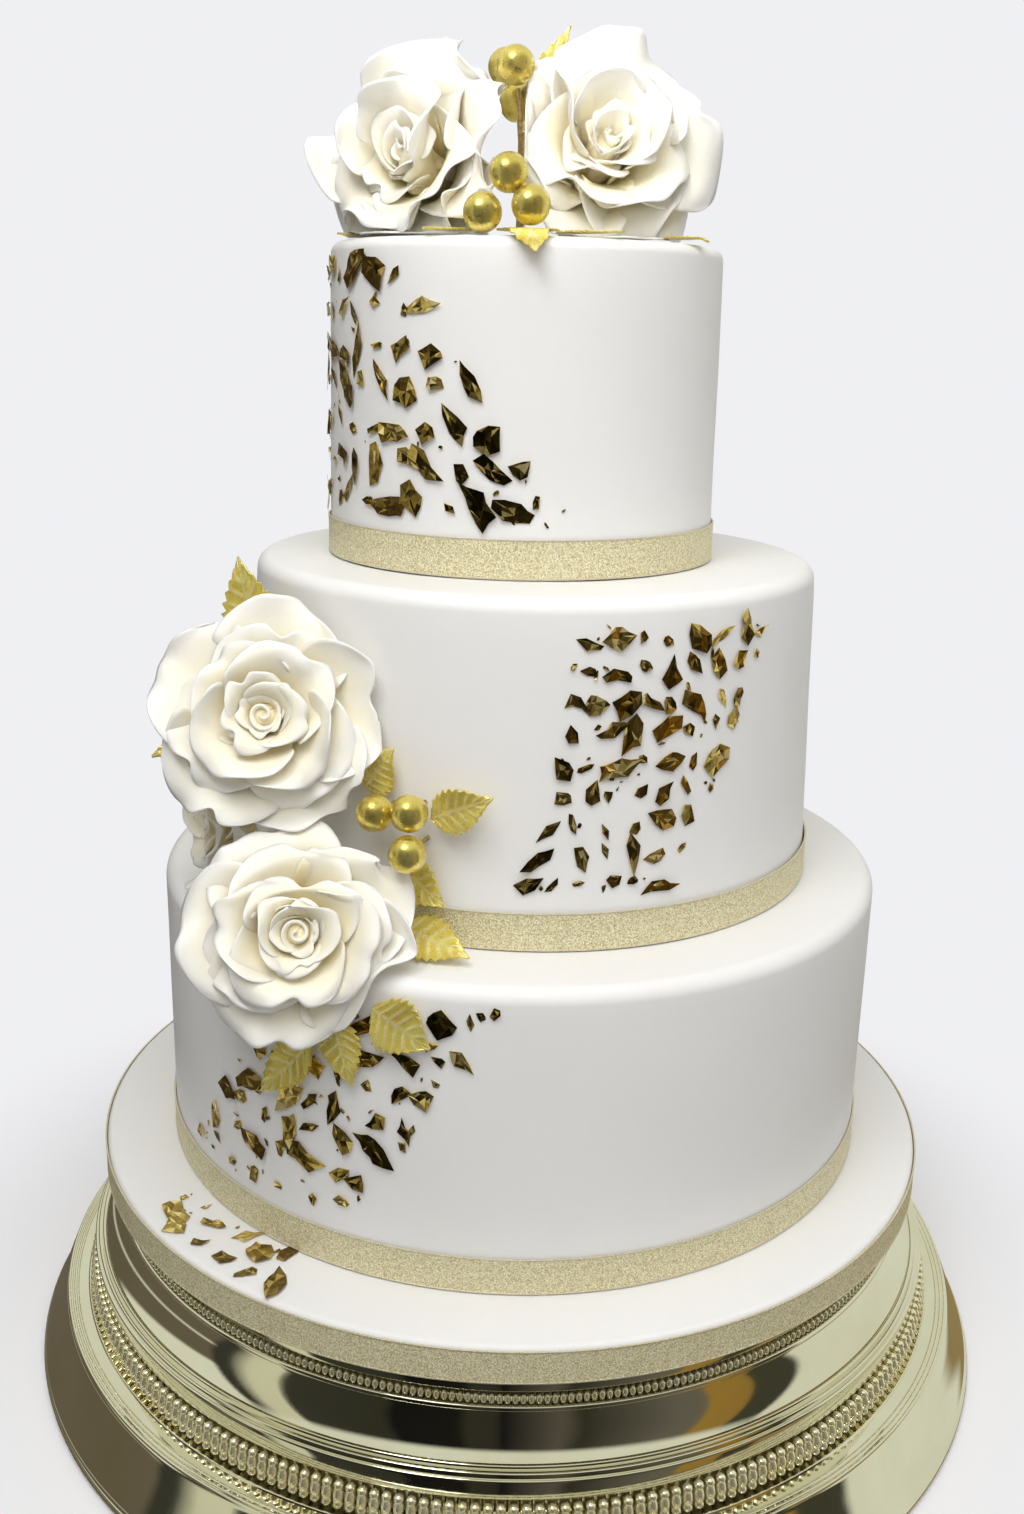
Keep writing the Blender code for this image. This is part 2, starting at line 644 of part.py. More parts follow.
def build_wire(name, points, parts, material):
    curve = bpy.data.curves.new(name, "CURVE")
    curve.dimensions = "3D"
    curve.bevel_depth = WIRE_RADIUS
    curve.bevel_resolution = 1
    curve.use_fill_caps = True
    spline = curve.splines.new("POLY")
    spline.points.add(len(points) - 1)
    for point, place in zip(spline.points, points):
        point.co = (*(Vector(place) * MM), 1.0)
    return add_object(name, curve, material, parts)


def build_side_pin(name, centre, parts, material):
    """A short wire straight from the middle tier's wall to a berry."""
    tier = TIERS["middle"]
    centre = Vector(centre)
    shift = tier["shift"] / MM
    away = Vector((centre.x - shift, centre.y, 0.0))
    wall = tier_radius(tier, centre.z * MM - tier["floor"]) / MM
    direction = away.normalized()
    root = centre - direction * (away.length - wall - 2.0 * GAP / MM)
    end = centre - direction * (BERRY_RADIUS + GAP) / MM
    return build_wire(name, (root, end), parts, material)


def main():
    clear_scene()
    parts = bpy.data.collections.new("wedding cake")
    bpy.context.scene.collection.children.link(parts)
    icing = make_material("white icing", (0.86, 0.855, 0.84), 0.45, 0.0)
    paste = make_material("ivory sugar paste", (0.88, 0.84, 0.74), 0.55, 0.0)
    leaf_gold = make_material("gold leaf", (0.60, 0.46, 0.16), 0.2, 1.0)
    dusted = make_material("gold dust", (0.72, 0.55, 0.18), 0.35, 1.0)
    ribbon_gold = make_material("champagne ribbon", (0.66, 0.56, 0.32), 0.6, 0.4)
    metal = make_material("pale gold plate", (0.80, 0.74, 0.52), 0.12, 1.0)
    build_stand(parts, metal)
    build_board(parts, icing, leaf_gold, ribbon_gold)
    build_tiers(parts, icing, leaf_gold, ribbon_gold)
    for name, rose in ROSES.items():
        build_rose(name, rose, parts, paste)
    for name, leaf in LEAVES.items():
        build_leaf(name, leaf, parts, dusted)
    for name, centre in BERRIES.items():
        build_berry(name, centre, parts, dusted)
        if "side" in name:
            build_side_pin(name.replace("berry", "wire"), centre, parts, dusted)
    for name, points in WIRES.items():
        build_wire(name, points, parts, dusted)


main()
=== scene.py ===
"""Looks of the tiered wedding cake: icing, gold leaf, ribbons, sugar flowers and the plated stand.

Metres, +Z up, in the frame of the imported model. The origin is the centre of the stand's underside.
"""
import math
import random

import bpy
import numpy as np
from mathutils import Matrix, Vector


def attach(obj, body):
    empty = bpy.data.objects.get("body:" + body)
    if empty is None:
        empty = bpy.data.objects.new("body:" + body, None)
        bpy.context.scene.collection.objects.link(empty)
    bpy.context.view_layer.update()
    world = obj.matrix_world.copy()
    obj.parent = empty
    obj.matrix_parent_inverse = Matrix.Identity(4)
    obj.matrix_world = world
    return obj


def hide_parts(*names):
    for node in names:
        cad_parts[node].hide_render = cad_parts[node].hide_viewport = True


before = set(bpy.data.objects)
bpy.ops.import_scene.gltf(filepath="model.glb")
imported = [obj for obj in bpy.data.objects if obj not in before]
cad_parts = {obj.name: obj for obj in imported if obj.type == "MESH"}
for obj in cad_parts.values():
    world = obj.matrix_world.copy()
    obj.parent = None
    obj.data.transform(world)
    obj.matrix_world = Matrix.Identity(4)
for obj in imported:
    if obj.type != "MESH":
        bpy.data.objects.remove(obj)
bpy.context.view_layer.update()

# Dimensions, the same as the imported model's
MM = 0.001
SIDES = 256
STAND_HEIGHT = 92.0
BOARD_RADIUS = 187.0
BOARD_TOP = 107.0
BOARD_EDGE_ROUND = 2.5
RIBBON_WIDTH = 15.0
RIBBON_GAP = 0.3
RIBBON_THICKNESS = 0.7
BERRY_RADIUS = 7.0
WIRE_RADIUS = 0.9
BEADS = 390
ROPE_LINKS = 260
BEAD = ((1.45, 1.32, 2.1, 181.1, 80.1),)
# A rope link's three balls: half sizes outward, along the ring and up, then radius and height
ROPE_LINK = ((2.2, 2.0, 1.75, 194.9, 43.6), (2.8, 2.12, 3.9, 195.2, 39.6), (2.2, 2.0, 1.9, 195.7, 35.9))
ICING_WAVE = 0.16
RIBBON_LIP = 0.55
RIBBON_BEND = 0.18
TIER_CRUMBS = 34
BOARD_CRUMBS = 8
FOIL_THICKNESS = 0.12
PETAL_THICKNESS = 1.15
LEAF_THICKNESS = 0.7
PETAL_GRID = (32, 24)
BUD_GRID = (72, 12)
BUD_TURNS = 1.8
CORE_GRID = (24, 8)
LEAF_GRID = (32, 80)
LEAF_TEETH = 10.0
LEAF_VEINS = 7.0
BACKDROP_COLOUR = (0.868, 0.870, 0.895)

TIERS = {
    "bottom": dict(base=157.2, top=157.0, height=124.5, shift=1.2, round=6.0),
    "middle": dict(base=122.3, top=117.6, height=132.3, shift=4.9, round=6.0),
    "top": dict(base=80.4, top=79.0, height=122.6, shift=-1.7, round=4.5),
}
tier_floor = BOARD_TOP
for tier in TIERS.values():
    tier["floor"] = tier_floor
    tier_floor += tier["height"]

FLAKE_FIELDS = {
    "bottom": dict(low=21, high=116, left=(-58, 0.28), right=(-23, 0.19), cell=12.9, seed=31),
    "middle": dict(low=20, high=124, left=(-2, 0.09), right=(25, 0.245), cell=10.6, seed=12),
    "top": dict(low=20, high=118, left=(-104, 0.05), right=(15, -0.51), cell=12.3, seed=5),
}
# Loose flakes beside the bottom field: angle in degrees, height, size
LOOSE_FLAKES = ((-2.6, 116.0, 2.6), (-4.4, 114.5, 1.8), (-6.0, 112.0, 2.0), (-9.0, 107.0, 1.5),
                (-7.2, 97.0, 4.2), (-11.0, 101.0, 2.2), (-10.5, 86.0, 1.8), (-12.0, 80.0, 4.6),
                (-13.6, 66.0, 2.6), (-15.0, 59.0, 2.2))
BOARD_FIELD = dict(low=159, high=183, left=(-54, 0.0), right=(-29, 0.0), cell=11.5, seed=8)

ROSE_RADIUS = 45.0
ROSE_CORE_HEIGHT = 32.0
PETAL_CLEAR = 4.4
LEAF_CLEAR = 0.6
BERRY_KEEP_OUT = 5.2
WIRE_KEEP_OUT = 4.4
FLAKE_GROWTH = 1.17               # the foil's ragged edge reaches past its solid root

# Each rose's cream factor scales its paste's cream tint and the painted shade in it; the top roses are
# painted a little lighter.
ROSES = {
    "rose_side_upper": dict(bud=(-92, -124, 321.5), face=(0.02, -0.94, 0.33), radius=43, twist=36,
                            off=(-0.6, -0.8, 0.0), seed=1),
    "rose_side_lower": dict(bud=(-76, -156, 251), face=(0.10, -0.93, 0.30), radius=43, twist=60,
                            off=(-0.35, -0.75, 0.55), seed=2, clear=6.5),
    "rose_side_back": dict(bud=(-126, -76, 262), face=(-0.87, -0.47, 0.05), radius=28, twist=10, open=0.9,
                           off=(-0.85, -0.5, 0.1), seed=3, counts=(4, 3, 0)),
    "rose_top_left": dict(bud=(-50, -42, 519), face=(-0.46, -0.74, 0.33), radius=48, twist=36, open=0.88,
                          tall=(0.7, 0.2, 0.7), off=(0, 0, 1), seed=4, frill=1.9, clear=0.4, cream_and_shade=0.9),
    "rose_top_right": dict(bud=(29, -42, 525), face=(0.26, -0.84, 0.48), radius=47, twist=24, open=0.88,
                           tall=(0.2, 0.2, 0.95), off=(0, 0, 1), seed=5, frill=1.7, clear=0.4, cream_and_shade=0.9),
}
ROSE_PLANES = (
    ((-90, -122, 281), (0.0, -0.5, 0.87), ("rose_side_upper",)),
    ((-90, -122, 281), (0.0, 0.5, -0.87), ("rose_side_lower",)),
    ((-112, -100, 268), (-0.4, 0.8, -0.45), ("rose_side_back",)),
    ((-112, -100, 268), (0.4, -0.8, 0.45), ("rose_side_upper", "rose_side_lower")),
    ((-4.2, -40, 520), (-1.0, 0.0, 0.0), ("rose_top_left",)),
    ((-4.2, -40, 520), (1.0, 0.0, 0.0), ("rose_top_right",)),
)
# Each leaf: its base, its tip, the way its face looks and half its width
LEAVES = {
    "leaf_side_1": ((-99, -81, 334), (-108.5, -73, 369.5), (-0.3, -0.95, 0.0), 11),
    "leaf_side_2": ((-57, -106.5, 289.5), (-45.8, -114.5, 307), (-0.4, -0.9, 0.0), 9),
    "leaf_side_3": ((-31.5, -120, 282.5), (-9, -129, 293.6), (-0.2, -1.0, 0.1), 8.5),
    "leaf_side_4": ((-45, -114, 263.3), (-25.9, -127, 250.4), (-0.3, -1.0, 0.2), 8.5),
    "leaf_side_5": ((-43, -119, 238.5), (-16.4, -139, 235.8), (0.0, -0.75, 0.65), 9),
    "leaf_side_6": ((-50, -150.5, 221), (-29.2, -158, 209.0), (-0.3, -1.0, 0.2), 11),
    "leaf_side_7": ((-65, -145, 217), (-57.9, -149.5, 189), (-0.4, -1.0, 0.1), 9),
    "leaf_side_8": ((-73, -140.5, 202), (-94.7, -131, 175.4), (-0.5, -0.85, 0.1), 8.5),
    "leaf_side_9": ((-94, -128.5, 212), (-112, -120, 203), (-0.6, -0.8, 0.1), 6),
    "leaf_side_10": ((-118, -70, 300), (-144, -78, 291), (-0.5, -0.8, 0.4), 7),
    "leaf_top_1": ((-58, -8, 487.0), (-75, -27, 487.0), (0.0, 0.0, 1.0), 8),
    "leaf_top_2": ((-22, -58, 487.0), (-39, -71, 486.9), (0.0, 0.0, 1.0), 6.5),
    "leaf_top_3": ((-3, -55, 488.2), (1.4, -90, 484.6), (0.0, -0.3, 0.95), 10.5),
    "leaf_top_4": ((9, -58, 487.0), (33, -71, 486.9), (0.0, 0.0, 1.0), 6.5),
    "leaf_top_5": ((50, -38, 487.0), (66, -47, 487.0), (0.0, 0.0, 1.0), 7),
    "leaf_top_6": ((-4, 8, 531), (13.4, 6, 568.6), (-0.5, -0.85, 0.0), 8),
}
LEAF_DROOP = {"leaf_top_3": 4.5}
BERRIES = {
    "berry_side_1": (-52.0, -123.0, 285.0),
    "berry_side_2": (-39.0, -128.5, 287.0),
    "berry_side_3": (-39.2, -134.0, 273.4),
    "berry_top_1": (-7.2, -41.5, 546.8),
    "berry_top_2": (-11.0, -22.0, 549.2),
    "berry_top_3": (-6.4, -28.0, 536.0),
    "berry_top_4": (-8.6, -68.6, 507.7),
    "berry_top_5": (-17.7, -71.0, 494.1),
    "berry_top_6": (-0.5, -72.0, 496.8),
}
WIRES = {
    "wire_top_1": ((-4.6, -40.0, 486.9), (-5.0, -39.0, 515.0), (-5.2, -40.5, 530.0), (-6.2, -41.2, 539.0)),
    "wire_top_2": ((-4.2, -12.0, 486.9), (-4.6, -14.0, 515.0), (-7.0, -17.0, 536.0), (-9.9, -20.2, 542.0)),
    "wire_top_3": ((-4.2, -22.0, 486.9), (-4.2, -24.0, 510.0), (-5.6, -27.0, 528.4)),
    "wire_top_4": ((-4.4, -50.0, 487.2), (-4.4, -57.0, 497.0), (-6.6, -62.6, 503.0)),
    "wire_leaf": ((-6.0, 8.0, 486.9), (-5.0, 8.6, 510.0), (-4.4, 8.2, 530.3)),
}


def add_object(name, data):
    thing = bpy.data.objects.new(name, data)
    bpy.context.scene.collection.objects.link(thing)
    return thing


# Camera
def place_camera():
    pitch = math.radians(16.75)
    yaw = math.radians(-0.445)
    roll = math.radians(1.253)
    ahead = Vector((math.sin(yaw) * math.cos(pitch), math.cos(yaw) * math.cos(pitch), -math.sin(pitch)))
    right = ahead.cross(Vector((0.0, 0.0, 1.0))).normalized()
    up = right.cross(ahead)
    rolled_right = right * math.cos(roll) + up * math.sin(roll)
    rolled_up = -right * math.sin(roll) + up * math.cos(roll)
    place = Matrix((rolled_right, rolled_up, -ahead)).transposed().to_4x4()
    place.translation = Vector((0.0, -0.620, 0.4533))
    lens = bpy.data.cameras.new("camera")
    lens.sensor_width = 36.0
    lens.lens = 34.34
    lens.shift_x = 0.0026
    lens.shift_y = 0.0067
    lens.clip_start = 0.01
    camera = add_object("camera", lens)
    camera.matrix_world = place
    bpy.context.scene.camera = camera


# Node helpers
class Nodes:
    """Short calls for the nodes that the materials and the surroundings share."""

    def __init__(self, tree, shader=None):
        self.tree = tree
        self.shader = shader

    def feed(self, node, feeds):
        """Give each named socket a number, a colour or another node's output."""
        for key, value in feeds.items():
            socket = node.inputs[key]
            if isinstance(value, bpy.types.NodeSocket):
                self.tree.links.new(value, socket)
            elif socket.type == "RGBA":
                socket.default_value = (*value, 1.0)
            else:
                socket.default_value = value

    def add(self, kind, feeds, **options):
        node = self.tree.nodes.new("ShaderNode" + kind)
        for option, value in options.items():
            setattr(node, option, value)
        self.feed(node, feeds)
        return node

    def shade(self, feeds):
        self.feed(self.shader, feeds)

    def point(self):
        return self.add("TexCoord", {}).outputs["Object"]

    def attribute(self, name):
        return self.add("Attribute", {}, attribute_name=name).outputs["Fac"]

    def noise(self, scale, detail=3.0, roughness=0.55, distortion=0.0):
        feeds = {"Vector": self.point(), "Scale": scale, "Detail": detail, "Roughness": roughness,
                 "Distortion": distortion}
        return self.add("TexNoise", feeds).outputs["Fac"]

    def ramp(self, value, *stops):
        node = self.add("ValToRGB", {"Fac": value})
        elements = node.color_ramp.elements
        while len(elements) < len(stops):
            elements.new(0.5)
        for element, (at, colour) in zip(elements, stops):
            element.position = at
            element.color = (*colour, 1.0)
        return node.outputs["Color"]

    def remap(self, value, low, high, to_low, to_high, kind="LINEAR"):
        feeds = {"Value": value, "From Min": low, "From Max": high, "To Min": to_low, "To Max": to_high}
        return self.add("MapRange", feeds, interpolation_type=kind).outputs["Result"]

    def rising(self, value, low, high):
        """A soft step from 0 at low to 1 at high."""
        return self.remap(value, low, high, 0.0, 1.0, "SMOOTHSTEP")

    def falling(self, value, low, high):
        return self.remap(value, low, high, 1.0, 0.0, "SMOOTHSTEP")

    def calc(self, operation, *values):
        return self.add("Math", dict(enumerate(values)), operation=operation).outputs["Value"]

    def times(self, first, second):
        return self.calc("MULTIPLY", first, second)

    def mix(self, factor, first, second):
        return self.add("Mix", {0: factor, 6: first, 7: second}, data_type="RGBA").outputs[2]

    def emboss(self, height, strength, distance, below=None):
        """Raise the surface by height, over an earlier bump if one is given."""
        feeds = {"Height": height, "Strength": strength, "Distance": distance}
        if below is not None:
            feeds["Normal"] = below
        normal = self.add("Bump", feeds).outputs["Normal"]
        self.shade({"Normal": normal})
        return normal


def new_material(name, colour, roughness, metallic=0.0):
    material = bpy.data.materials.new(name)
    material.use_nodes = True
    nodes = Nodes(material.node_tree, material.node_tree.nodes["Principled BSDF"])
    nodes.shade({"Base Color": colour, "Roughness": roughness, "Metallic": metallic})
    return material, nodes


# Materials
def icing_material():
    """Smooth white sugar icing, very slightly uneven in tone and gloss."""
    material, nodes = new_material("white sugar icing", (0.87, 0.862, 0.845), 0.42)
    tone = nodes.ramp(nodes.noise(9.0, 4.0), (0.30, (0.855, 0.845, 0.825)), (0.70, (0.885, 0.880, 0.868)))
    gloss = nodes.remap(nodes.noise(60.0), 0.3, 0.7, 0.36, 0.52)
    nodes.shade({"Base Color": tone, "Roughness": gloss, "Subsurface Weight": 0.12,
                 "Subsurface Radius": (1.0, 0.8, 0.55), "Subsurface Scale": 0.004,
                 "Specular IOR Level": 0.35})
    dents = nodes.emboss(nodes.noise(28.0, 2.0), 0.10, 0.002)
    nodes.emboss(nodes.noise(900.0, 4.0), 0.10, 0.0003, dents)
    return material


def paste_material():
    """Ivory sugar paste: white at the thin edges, creamier and darker toward the petal bases and the bud:
    partly the paste's own cream tint, partly painted shade where the petals close in on each other.
    """
    material, nodes = new_material("ivory sugar paste", (0.90, 0.87, 0.78), 0.50)
    patchy = nodes.remap(nodes.noise(70.0), 0.3, 0.7, -0.06, 0.06)
    # The colour follows each point's value from the mesh: the paler stops are the paste's own cream, the deep
    # yellow stops are painted shade in the flower's hollows.
    tone = nodes.ramp(nodes.calc("ADD", nodes.attribute("cream_and_shade"), patchy),
                      (0.02, (0.945, 0.935, 0.895)), (0.30, (0.940, 0.908, 0.800)),
                      (0.62, (0.925, 0.850, 0.620)), (1.0, (0.885, 0.735, 0.370)))
    nodes.shade({"Base Color": tone, "Subsurface Weight": 0.25, "Subsurface Radius": (1.0, 0.95, 0.85),
                 "Subsurface Scale": 0.0015, "Specular IOR Level": 0.30})
    grain = nodes.emboss(nodes.noise(260.0, 3.0, 0.6, 0.6), 0.16, 0.0006)
    nodes.emboss(nodes.noise(1800.0), 0.10, 0.0002, grain)
    return material


def leaf_foil_material():
    """Loose gold leaf: crumpled metal, each flake a little different in tone; the tone is painted reflection,
    dark brown for a mirrored dark room and bright gold for painted glints, with less metal on the bright
    facets.
    """
    material, nodes = new_material("gold leaf flakes", (0.62, 0.44, 0.12), 0.12, 1.0)
    # The tone attribute is painted reflection, with fine mottling of it laid over.
    tone = nodes.attribute("tone")
    mottled_reflection = nodes.remap(nodes.noise(340.0, 4.0), 0.35, 0.65, -0.12, 0.12)
    gold = nodes.ramp(nodes.calc("ADD", tone, mottled_reflection), (0.0, (0.22, 0.15, 0.04)), (0.45, (0.55, 0.38, 0.10)),
                      (0.8, (0.95, 0.74, 0.26)), (1.0, (1.0, 0.86, 0.42)))
    nodes.shade({"Base Color": gold, "Metallic": nodes.remap(tone, 0.45, 1.0, 1.0, 0.72),
                 "Roughness": nodes.remap(nodes.noise(520.0), 0.3, 0.7, 0.06, 0.22)})
    folds = nodes.emboss(nodes.noise(150.0, 1.0, 0.5, 0.8), 0.14, 0.0010)
    nodes.emboss(nodes.noise(1300.0, 2.0), 0.05, 0.0002, folds)
    return material


def dust_material(name, metallic, gloss, grain, warmth=1.0):
    """Gold lustre dust brushed over sugar: satin metal with brush marks and thinner patches, and on leaves
    lighter raised veins, a painted highlight.
    """
    material, nodes = new_material(name, (0.80, 0.64, 0.22), gloss, metallic)
    brushed_tone = nodes.ramp(nodes.noise(130.0, 4.0), (0.25, (0.74, 0.56, 0.12 * warmth)),
                              (0.50, (0.86, 0.70, 0.18 * warmth)), (0.78, (0.96, 0.84, 0.29 * warmth)))
    # Where the mesh marks a vein, the colour is lightened: a painted highlight on the raised veins.
    vein = nodes.times(nodes.attribute("vein"), 0.75)
    nodes.shade({"Base Color": nodes.mix(vein, brushed_tone, (1.0, 0.92, 0.52)),
                 "Roughness": nodes.remap(nodes.noise(420.0), 0.3, 0.7, gloss - 0.07, gloss + 0.08),
                 "Coat Weight": 0.30, "Coat Roughness": 0.22})
    brushed = nodes.emboss(nodes.noise(480.0), 0.08 * grain, 0.0004)
    nodes.emboss(nodes.noise(2600.0, 2.0), 0.14 * grain, 0.0002, brushed)
    return material


def ribbon_material(name, dark, light, roughness):
    """Glitter ribbon: fine metal grains that each face their own way, on a woven ground; how bright each
    grain is in the colour is painted sparkle.
    """
    material, nodes = new_material(name, light, roughness, 0.22)
    grains = nodes.add("TexVoronoi", {"Vector": nodes.point(), "Scale": 2900.0})
    facing_and_sparkle = nodes.add("SeparateColor", {"Color": grains.outputs["Color"]})
    value = nodes.calc("ADD", nodes.times(facing_and_sparkle.outputs["Red"], 0.84), nodes.times(nodes.noise(700.0), 0.28))
    middle = tuple((a + b) * 0.5 for a, b in zip(dark, light))
    # The brightest stop, above the ribbon's own light colour, is a painted glint.
    bright = tuple(min(1.0, channel * 1.30) for channel in light)
    tone = nodes.ramp(value, (0.15, dark), (0.50, middle), (0.80, light), (1.0, bright))
    nodes.shade({"Base Color": tone, "Specular IOR Level": 0.25})
    nodes.emboss(nodes.calc("ADD", facing_and_sparkle.outputs["Green"], grains.outputs["Distance"]), 0.55, 0.00035)
    return material


def thread_material(name, colour, roughness, metallic, scale, detail, dark, light, strength, distance):
    """Fine threads, dark and light, for the ribbons' woven edge and the stems' tape."""
    material, nodes = new_material(name, colour, roughness, metallic)
    thread = nodes.noise(scale, detail)
    nodes.shade({"Base Color": nodes.ramp(thread, (0.3, dark), (0.7, light))})
    nodes.emboss(thread, strength, distance)
    return material


def plate_material(name, low, high, gloss, metallic=1.0):
    """Pale gold plating: polished, faintly wavy, with soft haze and fine handling marks."""
    material, nodes = new_material(name, high, gloss, metallic)
    marks = nodes.remap(nodes.noise(300.0, 5.0, 0.7), 0.40, 0.80, gloss, gloss + 0.06)
    nodes.shade({"Base Color": nodes.ramp(nodes.noise(22.0, 5.0, 0.6), (0.3, low), (0.7, high)),
                 "Roughness": marks})
    wavy = nodes.emboss(nodes.noise(14.0, 2.0), 0.02, 0.002)
    nodes.emboss(nodes.noise(700.0), 0.02, 0.0002, wavy)
    return material


# Mesh helpers
def add_piece(name, vertices, faces, material, smooth=True):
    mesh = bpy.data.meshes.new(name)
    mesh.from_pydata([tuple(v) for v in vertices], [], faces)
    mesh.materials.append(material)
    mesh.polygons.foreach_set("use_smooth", [smooth] * len(mesh.polygons))
    return add_object(name, mesh)


def set_attribute(piece, name, values, domain="POINT"):
    layer = piece.data.attributes.new(name, "FLOAT", domain)
    layer.data.foreach_set("value", np.asarray(values, dtype=np.float32))


def thicken(piece, name, thickness, offset):
    sheet = piece.modifiers.new(name, "SOLIDIFY")
    sheet.thickness = thickness * MM
    sheet.offset = offset
    return sheet


def finish_piece(piece, slot_name, *nodes):
    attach(piece, "root")
    if nodes:
        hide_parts(*nodes)
    return piece


def arc(centre, radius, start, end, steps):
    """Points (r, z) on an arc, angles in degrees from +r toward +z."""
    return [(centre[0] + radius * math.cos(math.radians(start + (end - start) * index / steps)),
             centre[1] + radius * math.sin(math.radians(start + (end - start) * index / steps)))
            for index in range(steps + 1)]


def lathe(name, profile, material, closed=False, shift=0.0, sides=SIDES, sharp=35.0):
    """Turn (r, z) points in millimetres, listed down the outer side, about the Z axis."""
    vertices = []
    rings = []
    for r, z in profile:
        if r == 0.0:
            rings.append([len(vertices)] * sides)
            vertices.append((shift * MM, 0.0, z * MM))
            continue
        start = len(vertices)
        rings.append(list(range(start, start + sides)))
        for index in range(sides):
            angle = 2.0 * math.pi * index / sides
            vertices.append(((r * math.cos(angle) + shift) * MM, r * math.sin(angle) * MM, z * MM))
    pairs = list(zip(rings, rings[1:]))
    if closed:
        pairs.append((rings[-1], rings[0]))
    faces = []
    for upper, lower in pairs:
        for index in range(sides):
            after = (index + 1) % sides
            corners = [upper[index], lower[index], lower[after], upper[after]]
            faces.append(tuple(dict.fromkeys(corners)))
    piece = add_piece(name, vertices, faces, material)
    piece.data.set_sharp_from_angle(angle=math.radians(sharp))
    return piece


# The stand
def stand_profile():
    """Outer side of the stand, from the flat top down to the rolled foot."""
    top = STAND_HEIGHT - RIBBON_GAP
    points = [(0.0, top), (120.0, top), (178.0, top)]
    points += arc((179.6, top - 1.6), 1.6, 90.0, 0.0, 6)
    points += [(181.2, 84.4)] + arc((180.4, 83.6), 0.8, 0.0, -80.0, 3)
    points += [(179.4, 82.6), (179.3, 77.6)]
    points += arc((181.6, 76.4), 1.35, 120.0, -60.0, 8)
    points += [(180.3, 74.6)]
    points += arc((204.0, 78.0), 23.6, 190.0, 233.0, 16)
    points += arc((190.9, 58.7), 0.9, 80.0, -20.0, 5)
    points += [(191.9, 57.6)] + arc((192.9, 57.0), 0.9, 80.0, -20.0, 5)
    points += [(193.8, 56.0)] + arc((194.4, 55.2), 0.8, 80.0, -10.0, 5)
    points += [(195.0, 53.0), (194.6, 47.6), (193.6, 46.6), (192.6, 46.0), (192.2, 40.0), (192.6, 34.6)]
    points += [(194.0, 33.4), (198.2, 33.2)] + arc((198.8, 32.9), 0.6, 90.0, 20.0, 3)
    points += [(199.6, 32.7), (203.6, 32.3)]
    for ridge in (204.4, 206.2, 208.0):
        points += arc((ridge, 31.7), 0.75, 150.0, 30.0, 5)
    points += arc((206.6, 28.6), 3.2, 50.0, 24.0, 4)
    points += [(211.8, 24.2), (214.4, 17.4), (217.2, 10.8), (219.3, 6.6)]
    points += arc((219.0, 2.9), 2.0, 60.0, -60.0, 12)
    points += [(219.2, 0.4), (218.4, 0.0), (200.0, 0.0), (0.0, 0.0)]
    return points


def repeated(name, unit, count, material, places):
    """One joined mesh of a small closed shape repeated round the stand."""
    unit_vertices, unit_faces = unit
    vertices = []
    faces = []
    for index in range(count):
        angle = 2.0 * math.pi * index / count
        cosine, sine = math.cos(angle), math.sin(angle)
        for dr, dt, dz, radius, height in places:
            start = len(vertices)
            for x, y, z in unit_vertices:
                r = radius + x * dr
                t = y * dt
                vertices.append(((r * cosine - t * sine) * MM, (r * sine + t * cosine) * MM,
                                 (height + z * dz) * MM))
            faces += [tuple(start + corner for corner in face) for face in unit_faces]
    return add_piece(name, vertices, faces, material)


def ball_unit(columns, rows):
    vertices = [(0.0, 0.0, 1.0)]
    faces = []
    for row in range(1, rows):
        polar = math.pi * row / rows
        for column in range(columns):
            angle = 2.0 * math.pi * column / columns
            vertices.append((math.sin(polar) * math.cos(angle), math.sin(polar) * math.sin(angle),
                             math.cos(polar)))
    vertices.append((0.0, 0.0, -1.0))
    last = len(vertices) - 1
    for column in range(columns):
        after = (column + 1) % columns
        faces.append((0, 1 + column, 1 + after))
        for row in range(rows - 2):
            a = 1 + row * columns
            b = a + columns
            faces.append((a + column, b + column, b + after, a + after))
        low = last - columns
        faces.append((low + column, last, low + after))
    return vertices, faces


def build_stand(metal, beading):
    stand = lathe("plated_stand", stand_profile(), metal, sharp=40.0)
    finish_piece(stand, "metal", "stand")
    beads = repeated("bead_ring", ball_unit(8, 6), BEADS, beading, BEAD)
    finish_piece(beads, "metal", "stand_beads")
    rope = repeated("rope_ring", ball_unit(10, 8), ROPE_LINKS, beading, ROPE_LINK)
    finish_piece(rope, "metal", "stand_rope")


# Icing, board and ribbons
def tier_radius(tier, height):
    share = np.minimum(height / tier["height"], 1.0)
    return tier["base"] + (tier["top"] - tier["base"]) * share


def build_tier(name, tier, icing):
    floor = tier["floor"] + RIBBON_GAP
    top = tier["floor"] + tier["height"]
    edge, bend = tier["top"], tier["round"]
    points = [(0.0, top)]
    points += [((edge - bend) * share, top) for share in (0.25, 0.5, 0.75, 0.92)]
    points += arc((edge - bend, top - bend), bend, 90.0, 0.0, 12)
    wall_top = top - bend
    for step in range(1, 25):
        height = wall_top + (floor - wall_top) * step / 24
        points.append((float(tier_radius(tier, height - tier["floor"])), height))
    points.append((0.0, floor))
    piece = lathe("iced_tier_" + name, points, icing, shift=tier["shift"])
    settle(piece)
    return finish_piece(piece, "icing", "tier_" + name)


def settle(piece):
    """Rolled icing is never quite flat: a slow, shallow wave in its skin."""
    mesh = piece.data
    for vert in mesh.vertices:
        x, y, z = vert.co * 55.0
        wave = math.sin(x + 1.3 * math.sin(0.7 * z)) * math.sin(0.9 * y + 0.4 * x)
        wave += 0.6 * math.sin(1.7 * z + x)
        vert.co += vert.normal * wave * ICING_WAVE * MM * 0.5


